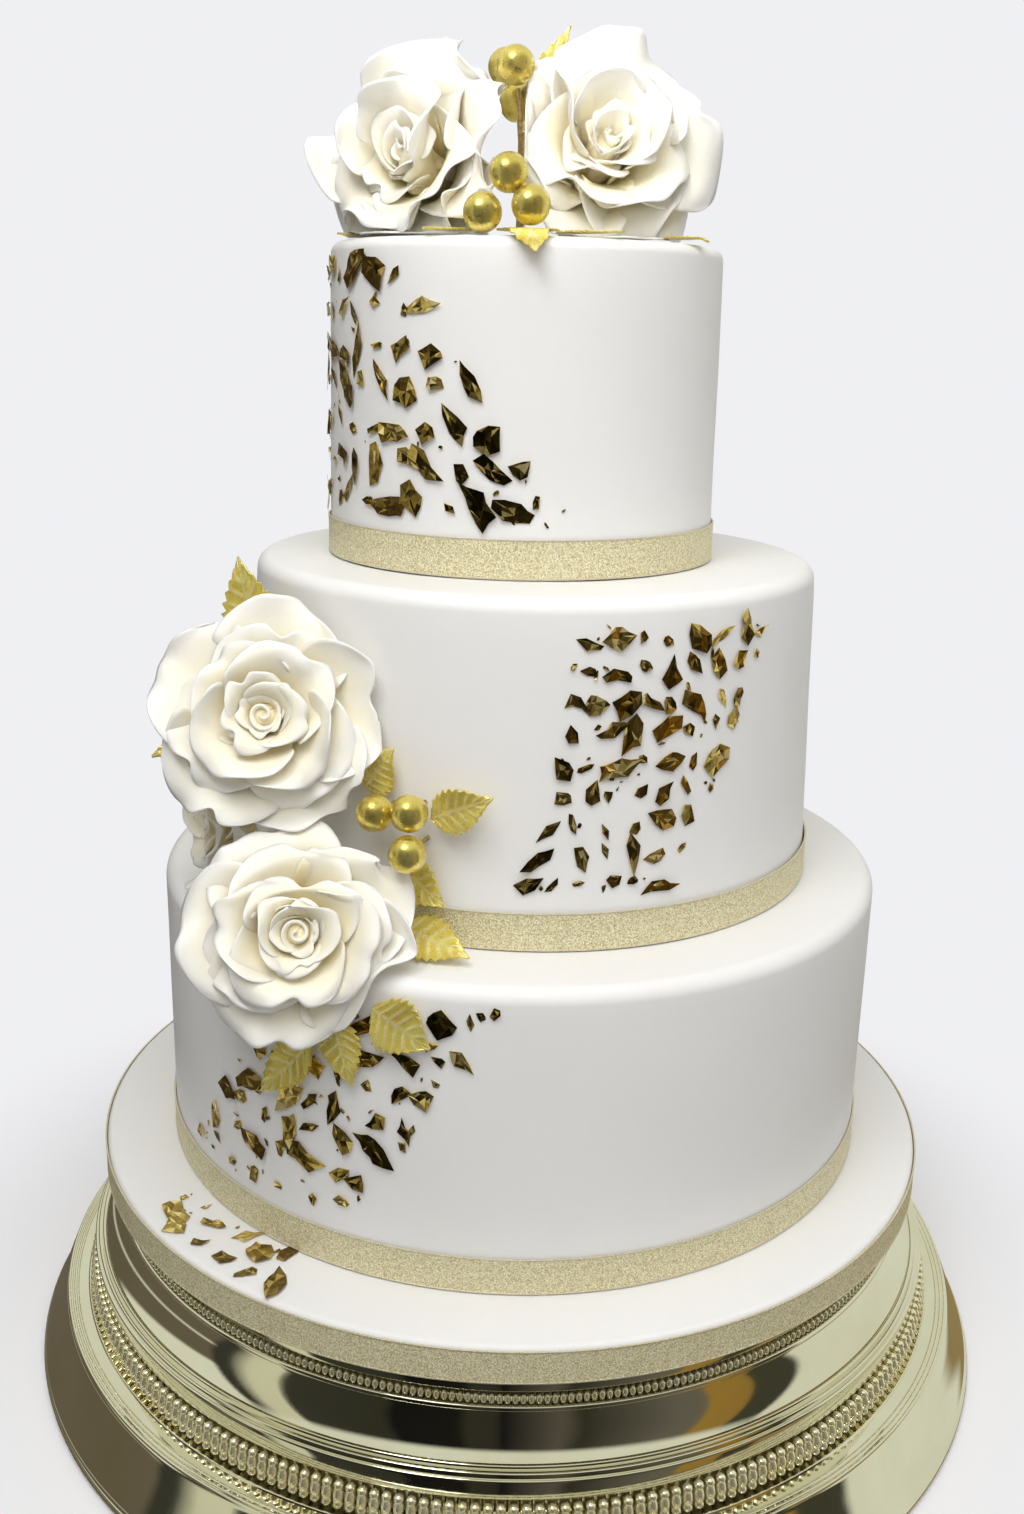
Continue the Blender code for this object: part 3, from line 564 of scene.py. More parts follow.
def build_board(icing):
    inset = BOARD_RADIUS - BOARD_EDGE_ROUND
    points = [(0.0, BOARD_TOP), (80.0, BOARD_TOP), (150.0, BOARD_TOP)]
    points += arc((inset, BOARD_TOP - BOARD_EDGE_ROUND), BOARD_EDGE_ROUND, 90.0, 0.0, 8)
    points += [(BOARD_RADIUS, STAND_HEIGHT + 6.0), (BOARD_RADIUS, STAND_HEIGHT), (0.0, STAND_HEIGHT)]
    return finish_piece(lathe("iced_board", points, icing), "icing", "board")


def build_ribbon(name, inner, low, high, glitter, edge, node, shift=0.0):
    """A thin band with a narrow raised edge along its top and its foot."""
    outer = inner + RIBBON_THICKNESS
    ground = outer - 0.14
    lip = RIBBON_LIP
    bend = RIBBON_BEND
    points = [(inner, high)] + arc((outer - bend, high - bend), bend, 90.0, 0.0, 3)
    points += [(outer, high - lip), (ground, high - lip - 0.12), (ground, low + lip + 0.12),
               (outer, low + lip)]
    points += arc((outer - bend, low + bend), bend, 0.0, -90.0, 3) + [(inner, low)]
    band = lathe(name, points, glitter, closed=True, shift=shift)
    band.data.materials.append(edge)
    for face in band.data.polygons:
        height = face.center.z / MM
        if height > high - lip - 0.06 or height < low + lip + 0.06:
            face.material_index = 1
    return finish_piece(band, "ribbon", node)


# Gold leaf
def flake_outline(draw, size):
    """An angular shard with four to seven corners, longer one way than the other."""
    corners = draw.choice((4, 5, 5, 6, 7))
    stretch = draw.uniform(1.0, 1.55)
    turn_angle = draw.uniform(0.0, math.pi)
    points = []
    for index in range(corners):
        angle = 2.0 * math.pi * (index + draw.uniform(-0.28, 0.28)) / corners
        reach = size * draw.uniform(0.62, 1.12)
        x = reach * math.cos(angle) * stretch
        y = reach * math.sin(angle) / stretch
        points.append((x * math.cos(turn_angle) - y * math.sin(turn_angle),
                       x * math.sin(turn_angle) + y * math.cos(turn_angle)))
    return points


def field_sides(field, height):
    """The field's left and right limits at a height, in degrees."""
    rise = height - field["low"]
    return [limit + slant * rise for limit, slant in (field["left"], field["right"])]


def flake_field(field, radius):
    """Flakes as (angle, height, outline, size): a jittered grid inside a slanted field."""
    draw = random.Random(field["seed"])
    cell = field["cell"]
    flakes = []
    rows = int((field["high"] - field["low"]) / cell)
    pitch = (field["high"] - field["low"]) / rows
    for row in range(rows):
        height = field["low"] + pitch * (row + 0.5)
        left, right = (math.radians(side) * radius for side in field_sides(field, height))
        columns = max(1, round((right - left) / cell))
        for column in range(columns):
            across = left + (right - left) * (column + 0.5 + 0.35 * (row % 2 - 0.5)) / columns
            across += draw.uniform(-0.24, 0.24) * cell
            up = height + draw.uniform(-0.24, 0.24) * cell
            size = cell * (0.16 + 0.42 * draw.random() ** 1.4)
            flakes.append((across / radius, up, flake_outline(draw, size), size))
    return flakes


def crumbs(field, count):
    """Tiny torn bits between the flakes."""
    draw = random.Random(field["seed"] + 100)
    bits = []
    for _ in range(count):
        up = draw.uniform(field["low"], field["high"])
        angle = math.radians(draw.uniform(*field_sides(field, up)))
        size = draw.uniform(0.4, 1.3)
        bits.append((angle, up, flake_outline(draw, size), size))
    return bits


def torn_edge(outline, draw):
    """The outline made sharper, its long sides broken once."""
    middle = sum(math.hypot(x, y) for x, y in outline) / len(outline)
    stretch = [(math.hypot(x, y) / middle) ** 0.3 for x, y in outline]
    outline = [(x * share, y * share) for (x, y), share in zip(outline, stretch)]
    points = []
    for index, start in enumerate(outline):
        end = outline[(index + 1) % len(outline)]
        length = math.dist(start, end)
        pieces = max(1, min(2, int(length / 3.0)))
        normal = ((end[1] - start[1]) / length, (start[0] - end[0]) / length)
        for step in range(pieces):
            share = (step + (0.3 * draw.uniform(-1.0, 1.0) if step else 0.0)) / pieces
            ragged = 0.12 * length * draw.uniform(-1.0, 0.7) if step else 0.0
            points.append((start[0] + (end[0] - start[0]) * share + normal[0] * ragged,
                           start[1] + (end[1] - start[1]) * share + normal[1] * ragged))
    return points


def build_flakes(name, flakes, place_on, node_seed, foil):
    """Creased foil facets for each flake. place_on turns (angle, height, x, y, lift) into a point."""
    draw = random.Random(node_seed)
    vertices = []
    faces = []
    reflection_tones = []
    for angle, up, outline, size in flakes:
        rim = torn_edge([(x * FLAKE_GROWTH, y * FLAKE_GROWTH) for x, y in outline], draw)
        # Each flake's tone, and each facet's change of it below, is painted reflection: low for dark foil,
        # high for a painted glint.
        tone = draw.choice((0.0, 0.1, 0.25, 0.4, 0.6))
        start = len(vertices)
        lift = min(0.8, 0.30 + 0.07 * size)
        way = draw.uniform(0.0, 2.0 * math.pi)
        tilt = draw.uniform(-0.14, 0.14)
        crease = draw.choice((0.05, 0.12, 0.25, 0.40, 0.55))
        middle = draw.uniform(-0.4, 0.4) * size
        curl = draw.choice((0.0, 0.0, 0.5, 1.0)) * min(size * 0.20, 1.1)
        across = draw.uniform(-0.25, 0.25) * size, draw.uniform(-0.25, 0.25) * size
        for scale in (1.0, 0.52, 0.0):
            for x, y in rim if scale else [across]:
                wander = 0.16 * size * (0.0 < scale < 1.0)
                px = x * (scale or 1.0) + draw.uniform(-wander, wander)
                py = y * (scale or 1.0) + draw.uniform(-wander, wander)
                along = px * math.cos(way) + py * math.sin(way)
                raised = lift + tilt * along + crease * abs(along - middle) + draw.uniform(-0.10, 0.10)
                raised += curl * max(0.0, along / max(size, 0.1) - 0.25) ** 2
                vertices.append(place_on(angle, up, px, py, min(max(raised, 0.10), 1.6)))
        count = len(rim)
        for index in range(count):
            after = (index + 1) % count
            a, b = start + index, start + after
            c, d = start + count + after, start + count + index
            faces += [(a, b, c), (a, c, d)] if draw.random() < 0.5 else [(a, b, d), (b, c, d)]
            faces.append((d, c, start + 2 * count))
            # Per facet: the flake's painted reflection shifted darker, or brighter as a painted glint.
            for _ in range(3):
                change = draw.choice((-0.2, -0.1, 0.0, 0.0, 0.15, 0.5))
                reflection_tones.append(min(1.0, max(0.0, tone + change)))
    piece = add_piece(name, vertices, faces, foil, smooth=False)
    set_attribute(piece, "tone", reflection_tones, "FACE")
    thicken(piece, "Foil", FOIL_THICKNESS, -1.0)
    return finish_piece(piece, "gold_dust")


def build_all_flakes(foil):
    for index, (name, tier) in enumerate(TIERS.items()):
        field = FLAKE_FIELDS[name]
        middle = float(tier_radius(tier, tier["height"] * 0.5))

        def on_wall(angle, up, x, y, lift, tier=tier):
            height = min(up + y, tier["height"] - tier["round"])
            radius = float(tier_radius(tier, height)) + lift
            turned = angle + x / radius
            return ((radius * math.sin(turned) + tier["shift"]) * MM, -radius * math.cos(turned) * MM,
                    (tier["floor"] + height) * MM)

        flakes = flake_field(field, middle) + crumbs(field, TIER_CRUMBS)
        if name == "bottom":
            draw = random.Random(77)
            for angle, up, size in LOOSE_FLAKES:
                flakes.append((math.radians(angle), up, flake_outline(draw, size), size))
        build_flakes("foil_flakes_" + name, flakes, on_wall, 40 + index, foil)

    def on_board(angle, reach, x, y, lift):
        px = x * math.cos(angle) + (reach - y) * math.sin(angle)
        py = x * math.sin(angle) - (reach - y) * math.cos(angle)
        return (px * MM, py * MM, (BOARD_TOP + lift) * MM)

    middle = (BOARD_FIELD["low"] + BOARD_FIELD["high"]) * 0.5
    flakes = flake_field(BOARD_FIELD, middle) + crumbs(BOARD_FIELD, BOARD_CRUMBS)
    build_flakes("foil_flakes_board", flakes, on_board, 50, foil)


# Sugar roses
def soft_step(short, width=1.0):
    return width * np.logaddexp(0.0, short / width)


def cake_distance(points):
    """Distance in millimetres from points to the iced tiers, negative inside them."""
    nearest = np.full(len(points), 1000.0)
    for tier in TIERS.values():
        height = points[:, 2] - tier["floor"]
        out = np.hypot(points[:, 0] - tier["shift"], points[:, 1])
        out = out - tier_radius(tier, np.maximum(height, 0.0))
        above = height - tier["height"]
        outside = np.hypot(np.maximum(out, 0.0), np.maximum(above, 0.0))
        nearest = np.minimum(nearest, np.minimum(np.maximum(out, above), 0.0) + outside)
    return nearest


def clear_of_cake(points, clearance, way):
    toward = np.array(Vector(way).normalized())
    for _ in range(6):
        points = points + toward * soft_step(clearance - cake_distance(points), 0.8)[:, None]
    return points


def clear_of_centres(points, centres, radius):
    away = points - centres
    length = np.linalg.norm(away, axis=1)[:, None]
    return points + away / length * soft_step(radius - length)


def clear_of_neighbours(points, rose_name):
    """Bend a rose's points away from the icing, the other roses, the berries and the wires."""
    for centre in BERRIES.values():
        points = clear_of_centres(points, np.array(centre), BERRY_RADIUS + BERRY_KEEP_OUT)
    for wire in WIRES.values():
        for start, end in zip(wire, wire[1:]):
            start, end = np.array(start), np.array(end)
            along = end - start
            share = np.clip((points - start) @ along / (along @ along), 0.0, 1.0)
            points = clear_of_centres(points, start + share[:, None] * along, WIRE_KEEP_OUT)
    for place, toward, names in ROSE_PLANES:
        if rose_name in names:
            side = np.array(Vector(toward).normalized())
            beyond = (points - np.array(place)) @ side
            points = points + side * soft_step(1.2 - beyond)[:, None]
    rose = ROSES[rose_name]
    return clear_of_cake(points, rose.get("clear", PETAL_CLEAR), rose["off"])


PETAL_KEYS = ("start_radius", "start_height", "length", "half", "lean_low", "lean_high", "ruffle", "frill",
              "curl", "cup", "cream_and_shade", "nest")
LAYERS = (
    (7, -2, 45, 28, 44, 94, 3.6, 4.0, 26.0, 3.2, 0.20, (0.0, 2.0, 4.0, 1.0, 3.0)),
    (8, 5, 36, 24, 16, 68, 2.4, 2.8, 38.0, 2.0, 0.32, (0.0, 3.0, 1.2, 4.2)),
    (6.5, 9, 26, 14, -2, 34, 1.2, 0.8, 62.0, 0.0, 0.44, (0.0, 2.0)),
)
COUNTS = (5, 4, 2)
# Extra petals that fill the flower between the modelled ones: two rings of broad ones, then tight wraps.
# The row's last two numbers are the ring's turn in degrees and how far its petals nest inward.
EXTRAS = (
    (7.0, 0, 38, 24, 36, 82, 3.6, 3.6, 32.0, 3.0, 0.22, (40.0, 1.5)),
    (7.0, 8, 29, 17, 0, 42, 1.4, 1.4, 58.0, 0.4, 0.42, (75.0, 0.8)),
    (5.2, 9, 23.5, 12.5, -3, 16, 0.5, 0.4, 66.0, 0.0, 0.52, (15.0, -1.0)),
)
EXTRA_PETALS = 3


def spine(petal, share):
    steps = 16
    radius = np.full_like(share, petal["start_radius"], dtype=float)
    height = np.full_like(share, petal["start_height"], dtype=float)
    slope = np.zeros_like(share)
    for index in range(steps):
        at = share * (index + 0.5) / steps
        degrees = petal["lean_low"] + (petal["lean_high"] - petal["lean_low"]) * at ** 1.2
        degrees = degrees + petal["curl"] * np.maximum(0.0, (at - 0.72) / 0.28) ** 2
        slope = np.radians(degrees)
        radius += petal["length"] * share / steps * np.sin(slope)
        height += petal["length"] * share / steps * np.cos(slope)
    base_slope = np.radians(petal["lean_low"] + (petal["lean_high"] - petal["lean_low"]) * share ** 1.2)
    return radius, height, base_slope


def grid(columns, rows, low=0.0, high=1.0):
    """A sheet's points as two flat arrays: across from low to high, and up from 0 to 1."""
    across, up = np.meshgrid(np.linspace(low, high, columns + 1), np.linspace(0.0, 1.0, rows + 1))
    return across.ravel(), up.ravel()


def turned_points(radius, angle, height):
    return np.stack((radius * np.cos(angle), radius * np.sin(angle), height), axis=1)


def petal_points(petal):
    """A broad rounded petal: cupped, its rim rolled back and gently waved, with a shallow notch."""
    u, v = grid(*PETAL_GRID, -1.0)
    upper = np.maximum(0.0, (v - 0.42) / 0.58)
    around = np.arctan2(u, upper + 0.10)
    rim = np.clip((upper ** 6 + (np.abs(u) * np.minimum(1.0, v / 0.45)) ** 6) ** (1.0 / 6.0), 0.0, 1.0)
    reach = np.minimum(v, 0.42) + 0.58 * upper * np.sqrt(1.0 - 0.5 * u * u)
    reach = reach * (1.0 - 0.07 * u * u * v)
    reach = reach - petal["notch"] * np.exp(-((u - petal["lean"]) / 0.22) ** 2) * upper ** 3
    radius, height, slope = spine(petal, reach)
    swell = np.sin(np.minimum(v / 0.66, 1.0) * math.pi / 2.0)
    across = u * np.sqrt(1.0 - 0.42 * upper * upper) * petal["half"] * (0.20 + 0.84 * swell)
    wrap = radius / np.maximum(np.cos(slope), 0.25)
    side = wrap * np.sin(across / wrap)
    inward = wrap * (1.0 - np.cos(across / wrap))
    inward += petal["ruffle"] * v * v * np.sin(2.6 * u + petal["phase"])
    inward += petal["cup"] * u * u * np.sin(math.pi * np.minimum(1.0, 1.15 * v))
    wave = np.sin(petal["waves"] * around + 4.0 * petal["phase"])
    wave = wave + 0.45 * np.sin(2.2 * petal["waves"] * around + 9.0 * petal["phase"])
    inward += petal["frill"] * rim ** 5 * wave
    back = np.maximum(0.0, (rim - 0.74) / 0.26)
    inward -= petal["roll"] * back * back * (0.65 + 0.35 * np.sin(1.3 * around + 7.0 * petal["phase"]))
    inward += petal["nest"]
    points = np.stack((radius - inward * np.cos(slope), side, height + inward * np.sin(slope)), axis=1)
    # Paste colour value: cream tint rising toward the petal's base, where it also paints shade in the hollow,
    # and lower (whiter) toward the rim.
    cream_and_shade = petal["cream_and_shade"] + 0.66 * np.exp(-((v / 0.62) ** 2)) - 0.34 * rim ** 8
    return points, cream_and_shade, rim, PETAL_GRID


def sheet_faces(columns, rows, start):
    wide = columns + 1
    return [(start + row * wide + column, start + row * wide + column + 1,
             start + (row + 1) * wide + column + 1, start + (row + 1) * wide + column)
            for row in range(rows) for column in range(columns)]


def rose_petals(rose, around_frame):
    """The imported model's petals, drawn from the same seed, and then the ones that fill between them."""
    draw = random.Random(rose["seed"])
    fine = random.Random(rose["seed"] + 50)
    petals = []
    start = 0.0
    counts = rose.get("counts", COUNTS)
    opened = rose.get("open", 1.0)

    def shape(layer, angle, nest, first, second, third, phase):
        outward = around_frame.to_3x3() @ Matrix.Rotation(math.radians(angle), 3, "Z").col[0]
        tall = outward.dot(Vector(rose.get("tall", (0, 0, 0))))
        return dict(
            layer, angle=angle, nest=nest, phase=phase, half=layer["half"] * third,
            lean_low=layer["lean_low"] * opened - 14.0 * tall,
            lean_high=layer["lean_high"] * opened * first - 14.0 * tall,
            length=layer["length"] * second * (1.0 + 0.10 * tall),
            frill=layer["frill"] * rose.get("frill", 1.0),
            notch=fine.choice((0.0, 0.03, 0.06, 0.10, 0.14)),
            lean=fine.uniform(-0.4, 0.4),
            roll=fine.uniform(0.8, 2.6) * (0.5 if layer["cup"] == 0.0 else 1.0),
            waves=fine.uniform(2.8, 5.0))

    for row, count in zip(LAYERS, counts):
        layer = dict(zip(PETAL_KEYS, row))
        start += 180.0 / max(count, 1) + 11.0
        for index in range(count):
            angle = start + 360.0 * index / count + draw.uniform(-5.0, 5.0)
            first = draw.uniform(0.94, 1.05)
            second = draw.uniform(0.94, 1.06)
            third = draw.uniform(0.95, 1.05)
            petals.append(shape(layer, angle, layer["nest"][index], first, second, third,
                                draw.uniform(-0.7, 0.7)))
    small = rose["radius"] < 35
    for row in EXTRAS[-1:] if small else EXTRAS:
        layer = dict(zip(PETAL_KEYS, row))
        turned, nest = layer["nest"]
        for index in range(EXTRA_PETALS):
            angle = turned + 360.0 * index / EXTRA_PETALS + fine.uniform(-9.0, 9.0)
            petals.append(shape(layer, angle, nest + 0.9 * (index % 3), fine.uniform(0.93, 1.03),
                                fine.uniform(0.92, 1.02), fine.uniform(0.94, 1.05), fine.uniform(-0.9, 0.9)))
    return petals


def bud_points(seed):
    """A rolled strip round a soft core: tight in the middle, opening a little at its rim."""
    draw = random.Random(seed + 80)
    phase = draw.uniform(0.0, 6.0)
    s, v = grid(*BUD_GRID)
    angle = 2.0 * math.pi * BUD_TURNS * s + phase
    top = 31.5 - 2.4 * s + 0.9 * np.sin(1.7 * angle + phase) * s
    radius = 0.55 + 4.4 * s + (0.3 + 2.6 * s) * np.maximum(0.0, v - 0.55) ** 2 / 0.2
    radius += 0.3 * s * v * np.sin(2.6 * angle + 2.0 * phase)
    height = 8.0 + (top - 8.0) * v
    # The bud's colour value is highest low in the roll: cream with painted shade, paler toward its rim.
    return turned_points(radius, angle, height), 0.74 - 0.40 * v ** 4, v * 0.6, BUD_GRID


def core_points():
    """The domed paste cone that the bud is rolled round."""
    angle, v = grid(*CORE_GRID, 0.0, 2.0 * math.pi)
    radius = 5.0 * np.cos(0.5 * math.pi * v) + 0.02
    height = 20.0 + 8.4 * np.sin(0.5 * math.pi * v)
    return turned_points(radius, angle, height), np.full_like(v, 0.70), np.zeros_like(v), CORE_GRID


def build_rose(name, rose, paste):
    scale = rose["radius"] / ROSE_RADIUS
    toward = Vector(rose["face"]).normalized()
    origin = Vector(rose["bud"]) - toward * ROSE_CORE_HEIGHT * scale
    turn_to = toward.to_track_quat("Z", "Y").to_matrix().to_4x4()
    place = Matrix.Translation(origin) @ turn_to @ Matrix.Rotation(math.radians(rose["twist"]), 4, "Z")
    vertices = []
    cream_and_shade_values = []
    body = []
    faces = []

    def add_sheet(matrix, points, cream_and_shade, rim, size):
        local = points * scale
        moved = local @ np.array(matrix.to_3x3()).T + np.array(matrix.translation)
        moved = clear_of_neighbours(moved, name)
        faces.extend(sheet_faces(*size, len(vertices)))
        vertices.extend((moved * MM).tolist())
        cream_and_shade_values.extend(np.clip(cream_and_shade * rose.get("cream_and_shade", 1.0), 0.0, 1.0).tolist())
        body.extend(np.clip(1.0 - rim ** 3 * 0.75, 0.25, 1.0).tolist())

    for petal in rose_petals(rose, place):
        spin = place @ Matrix.Rotation(math.radians(petal["angle"]), 4, "Z")
        add_sheet(spin, *petal_points(petal))
    add_sheet(place, *bud_points(rose["seed"]))
    add_sheet(place, *core_points())
    piece = add_piece(name.replace("rose", "sugar_rose"), vertices, faces, paste)
    set_attribute(piece, "cream_and_shade", cream_and_shade_values)
    group = piece.vertex_groups.new(name="thickness")
    for index, weight in enumerate(body):
        group.add([index], weight, "REPLACE")
    sheet = thicken(piece, "Sheet", PETAL_THICKNESS, 0.0)
    sheet.vertex_group = "thickness"
    sheet.thickness_vertex_group = 0.3
    return finish_piece(piece, "sugar_paste", name)


# Gold leaves, berries and stems
def leaf_width(share):
    return np.maximum(np.sin(math.pi * share ** 0.78), 0.0) ** 1.12 * (1.05 - 0.10 * share)


def build_leaf(name, base, tip, up, half, dust):
    """A thin leaf with a sawn edge, a raised midrib and paired side veins."""
    way = up
    base = np.array(base, dtype=float)
    along = np.array(tip, dtype=float) - base
    length = np.linalg.norm(along)
    up = np.array(up, dtype=float)
    up = up - along * (up @ along) / length ** 2
    up /= np.linalg.norm(up)
    side = np.cross(along / length, up)
    lane, share = grid(*LEAF_GRID, -1.0)
    saw = (share * LEAF_TEETH) % 1.0
    full = half * leaf_width(share)
    edge = np.abs(lane) ** 3
    width = full * (1.0 + edge * (0.24 * saw - 0.15)) + 0.15
    bend = 0.25 if up[2] > 0.99 else 1.0
    arch = bend * (np.sin(math.pi * share) + 0.4 * np.sin(3.0 * math.pi * share) + 0.16 * width * np.abs(lane)
                   + 0.5 * np.abs(lane) ** 2 * np.sin(7.0 * share + 1.5 * lane))
    drift = share * LEAF_VEINS - np.abs(lane) * 1.25
    vein = np.exp(-(((drift + 0.5) % 1.0 - 0.5) / 0.14) ** 2)
    vein = vein * (1.0 - edge) * np.minimum(1.0, 6.0 * np.abs(lane))
    midrib = np.exp(-(lane / 0.08) ** 2) * (1.0 - 0.6 * share)
    arch = arch + 0.36 * vein + 0.55 * midrib
    points = base + along * share[:, None] + side * (width * lane)[:, None] + up * arch[:, None]
    points[:, 2] -= LEAF_DROOP.get(name, 0.0) * np.clip((share - 0.55) / 0.45, 0.0, 1.0) ** 2
    points = clear_of_cake(points, LEAF_CLEAR, way)
    piece = add_piece("gold_" + name, points * MM, sheet_faces(*LEAF_GRID, 0), dust)
    # The vein values mark where the material paints a highlight on the raised veins.
    set_attribute(piece, "vein", np.clip(vein + midrib, 0.0, 1.0))
    thicken(piece, "Sheet", LEAF_THICKNESS, 0.0)
    return finish_piece(piece, "gold_dust", name)


def build_berry(name, centre, way, dust):
    """A satin ball with a small dimple where its stem goes in; way points to the stem."""
    vertices, faces = ball_unit(40, 24)
    turn_to = Vector(way).normalized().to_track_quat("Z", "Y").to_matrix()
    shaped = []
    for x, y, z in vertices:
        dimple = 1.0 - 0.07 * math.exp(-((1.0 - z) / 0.02))
        shaped.append((turn_to @ Vector((x, y, z)) * BERRY_RADIUS * dimple + Vector(centre)) * MM)
    return finish_piece(add_piece("gold_" + name, shaped, faces, dust), "gold_dust", name)


def build_stem(name, points, tape):
    curve = bpy.data.curves.new(name, "CURVE")
    curve.dimensions = "3D"
    curve.bevel_depth = WIRE_RADIUS * MM
    curve.bevel_resolution = 4
    curve.use_fill_caps = True
    curve.resolution_u = 10
    spline = curve.splines.new("BEZIER")
    spline.bezier_points.add(len(points) - 1)
    for knot, place in zip(spline.bezier_points, points):
        knot.co = Vector(place) * MM
        knot.handle_left_type = "AUTO"
        knot.handle_right_type = "AUTO"
    curve.materials.append(tape)
    return finish_piece(add_object("stem_" + name, curve), "gold_dust", name)


def build_berries_and_stems(dust, tape):
    tier = TIERS["middle"]
    for name, points in WIRES.items():
        build_stem(name, points, tape)
    for name, centre in BERRIES.items():
        wire_name = name.replace("berry", "wire")
        if wire_name in WIRES:
            way = Vector(WIRES[wire_name][-1]) - Vector(centre)
        elif "top" in name:
            way = Vector((0.0, 0.3, -1.0))
        else:
            way = Vector((tier["shift"] - centre[0], -centre[1], 0.0))
            away = way.length
            wall = float(tier_radius(tier, centre[2] - tier["floor"]))
            direction = way.normalized()
            root = Vector(centre) + direction * (away - wall - 2.0 * RIBBON_GAP)
            end = Vector(centre) + direction * (BERRY_RADIUS + RIBBON_GAP)
            build_stem(wire_name, (root, end), tape)
        build_berry(name, centre, way, dust)


# Studio
def add_light(name, place, target, size, power, colour=(1.0, 1.0, 1.0), mirrored=True, spread=180.0):
    light = bpy.data.lights.new(name, "AREA")
    light.shape = "DISK"
    light.size = size
    light.energy = power
    light.color = colour
    light.spread = math.radians(spread)
    lamp = add_object(name, light)
    lamp.location = place
    lamp.visible_glossy = mirrored
    lamp.rotation_euler = (Vector(target) - Vector(place)).to_track_quat("-Z", "Y").to_euler()


def build_world():
    """White surroundings, and for reflections a darker room in front of the cake."""
    world = bpy.data.worlds.new("studio")
    bpy.context.scene.world = world
    world.use_nodes = True
    world.node_tree.nodes.clear()
    nodes = Nodes(world.node_tree)
    direction = nodes.add("TexCoord", {}).outputs["Generated"]
    split = nodes.add("SeparateXYZ", {"Vector": direction})
    x, y, z = (split.outputs[axis] for axis in "XYZ")
    azimuth = nodes.calc("ARCTAN2", x, nodes.times(y, -1.0))
    turned = nodes.remap(azimuth, -math.pi, math.pi, 0.0, 1.0)
    room = nodes.ramp(
        turned,
        (0.00, (0.05, 0.05, 0.04)), (0.30, (0.04, 0.04, 0.03)), (0.317, (0.60, 0.60, 0.46)),
        (0.34, (0.62, 0.62, 0.48)), (0.345, (0.04, 0.04, 0.03)), (0.42, (0.03, 0.03, 0.02)),
        (0.425, (0.008, 0.008, 0.008)), (0.47, (0.010, 0.010, 0.008)), (0.475, (0.03, 0.03, 0.02)),
        (0.495, (0.03, 0.028, 0.02)), (0.50, (0.008, 0.008, 0.008)), (0.54, (0.09, 0.08, 0.065)),
        (0.555, (0.03, 0.03, 0.02)), (0.62, (0.12, 0.11, 0.09)), (0.64, (0.13, 0.12, 0.09)),
        (0.645, (0.30, 0.18, 0.035)), (0.675, (0.28, 0.17, 0.04)), (0.68, (0.05, 0.05, 0.03)),
        (0.73, (0.05, 0.05, 0.04)), (1.00, (0.06, 0.06, 0.05)))
    # The room is seen toward the front only, and gives way to the pale surroundings high up
    level = nodes.calc("SQRT", nodes.calc("SUBTRACT", 1.0, nodes.times(z, z)))
    ahead = nodes.calc("DIVIDE", y, nodes.calc("ADD", nodes.times(level, 0.5), 0.5))
    in_room = nodes.times(nodes.rising(ahead, -0.18, -0.24), nodes.falling(z, 0.64, 0.76))
    # A brown band at the sides and below
    band = nodes.times(nodes.rising(z, -0.10, -0.04), nodes.falling(z, 0.26, 0.34))
    band = nodes.times(band, nodes.falling(x, 0.0, 0.15))
    band = nodes.times(band, nodes.falling(y, 0.88, 0.95))
    leftward = nodes.times(nodes.falling(z, -0.14, -0.07), nodes.falling(x, -0.15, 0.0))
    below = nodes.calc("MAXIMUM", nodes.falling(z, -0.43, -0.37), leftward)
    brown = nodes.mix(nodes.remap(x, -0.2, 0.2, 0.0, 1.0), (0.13, 0.11, 0.075), (0.28, 0.21, 0.09))
    around = nodes.mix(nodes.calc("MAXIMUM", band, below), (0.70, 0.72, 0.62), brown)
    grey_stops = ((0.00, 0.80), (0.22, 0.34), (0.38, 0.50), (0.50, 1.15), (0.62, 1.06), (0.78, 0.94),
                  (1.00, 0.80))
    sides = nodes.ramp(turned, *((at, (grey, grey, grey)) for at, grey in grey_stops))
    lit = nodes.times(nodes.remap(z, -1.0, 1.0, 0.24, 0.68), sides)
    rays = nodes.add("LightPath", {})
    seen = nodes.add("Background", {"Color": BACKDROP_COLOUR})
    glossy = nodes.add("Background", {"Color": nodes.mix(in_room, around, room)})
    diffuse = nodes.add("Background", {"Color": (1.0, 0.985, 0.962), "Strength": lit})
    unseen = nodes.add("MixShader", {"Fac": rays.outputs["Is Glossy Ray"], 1: diffuse.outputs["Background"],
                                     2: glossy.outputs["Background"]})
    studio = nodes.add("MixShader", {"Fac": rays.outputs["Is Camera Ray"], 1: unseen.outputs["Shader"],
                                     2: seen.outputs["Background"]})
    nodes.add("OutputWorld", {"Surface": studio.outputs["Shader"]})


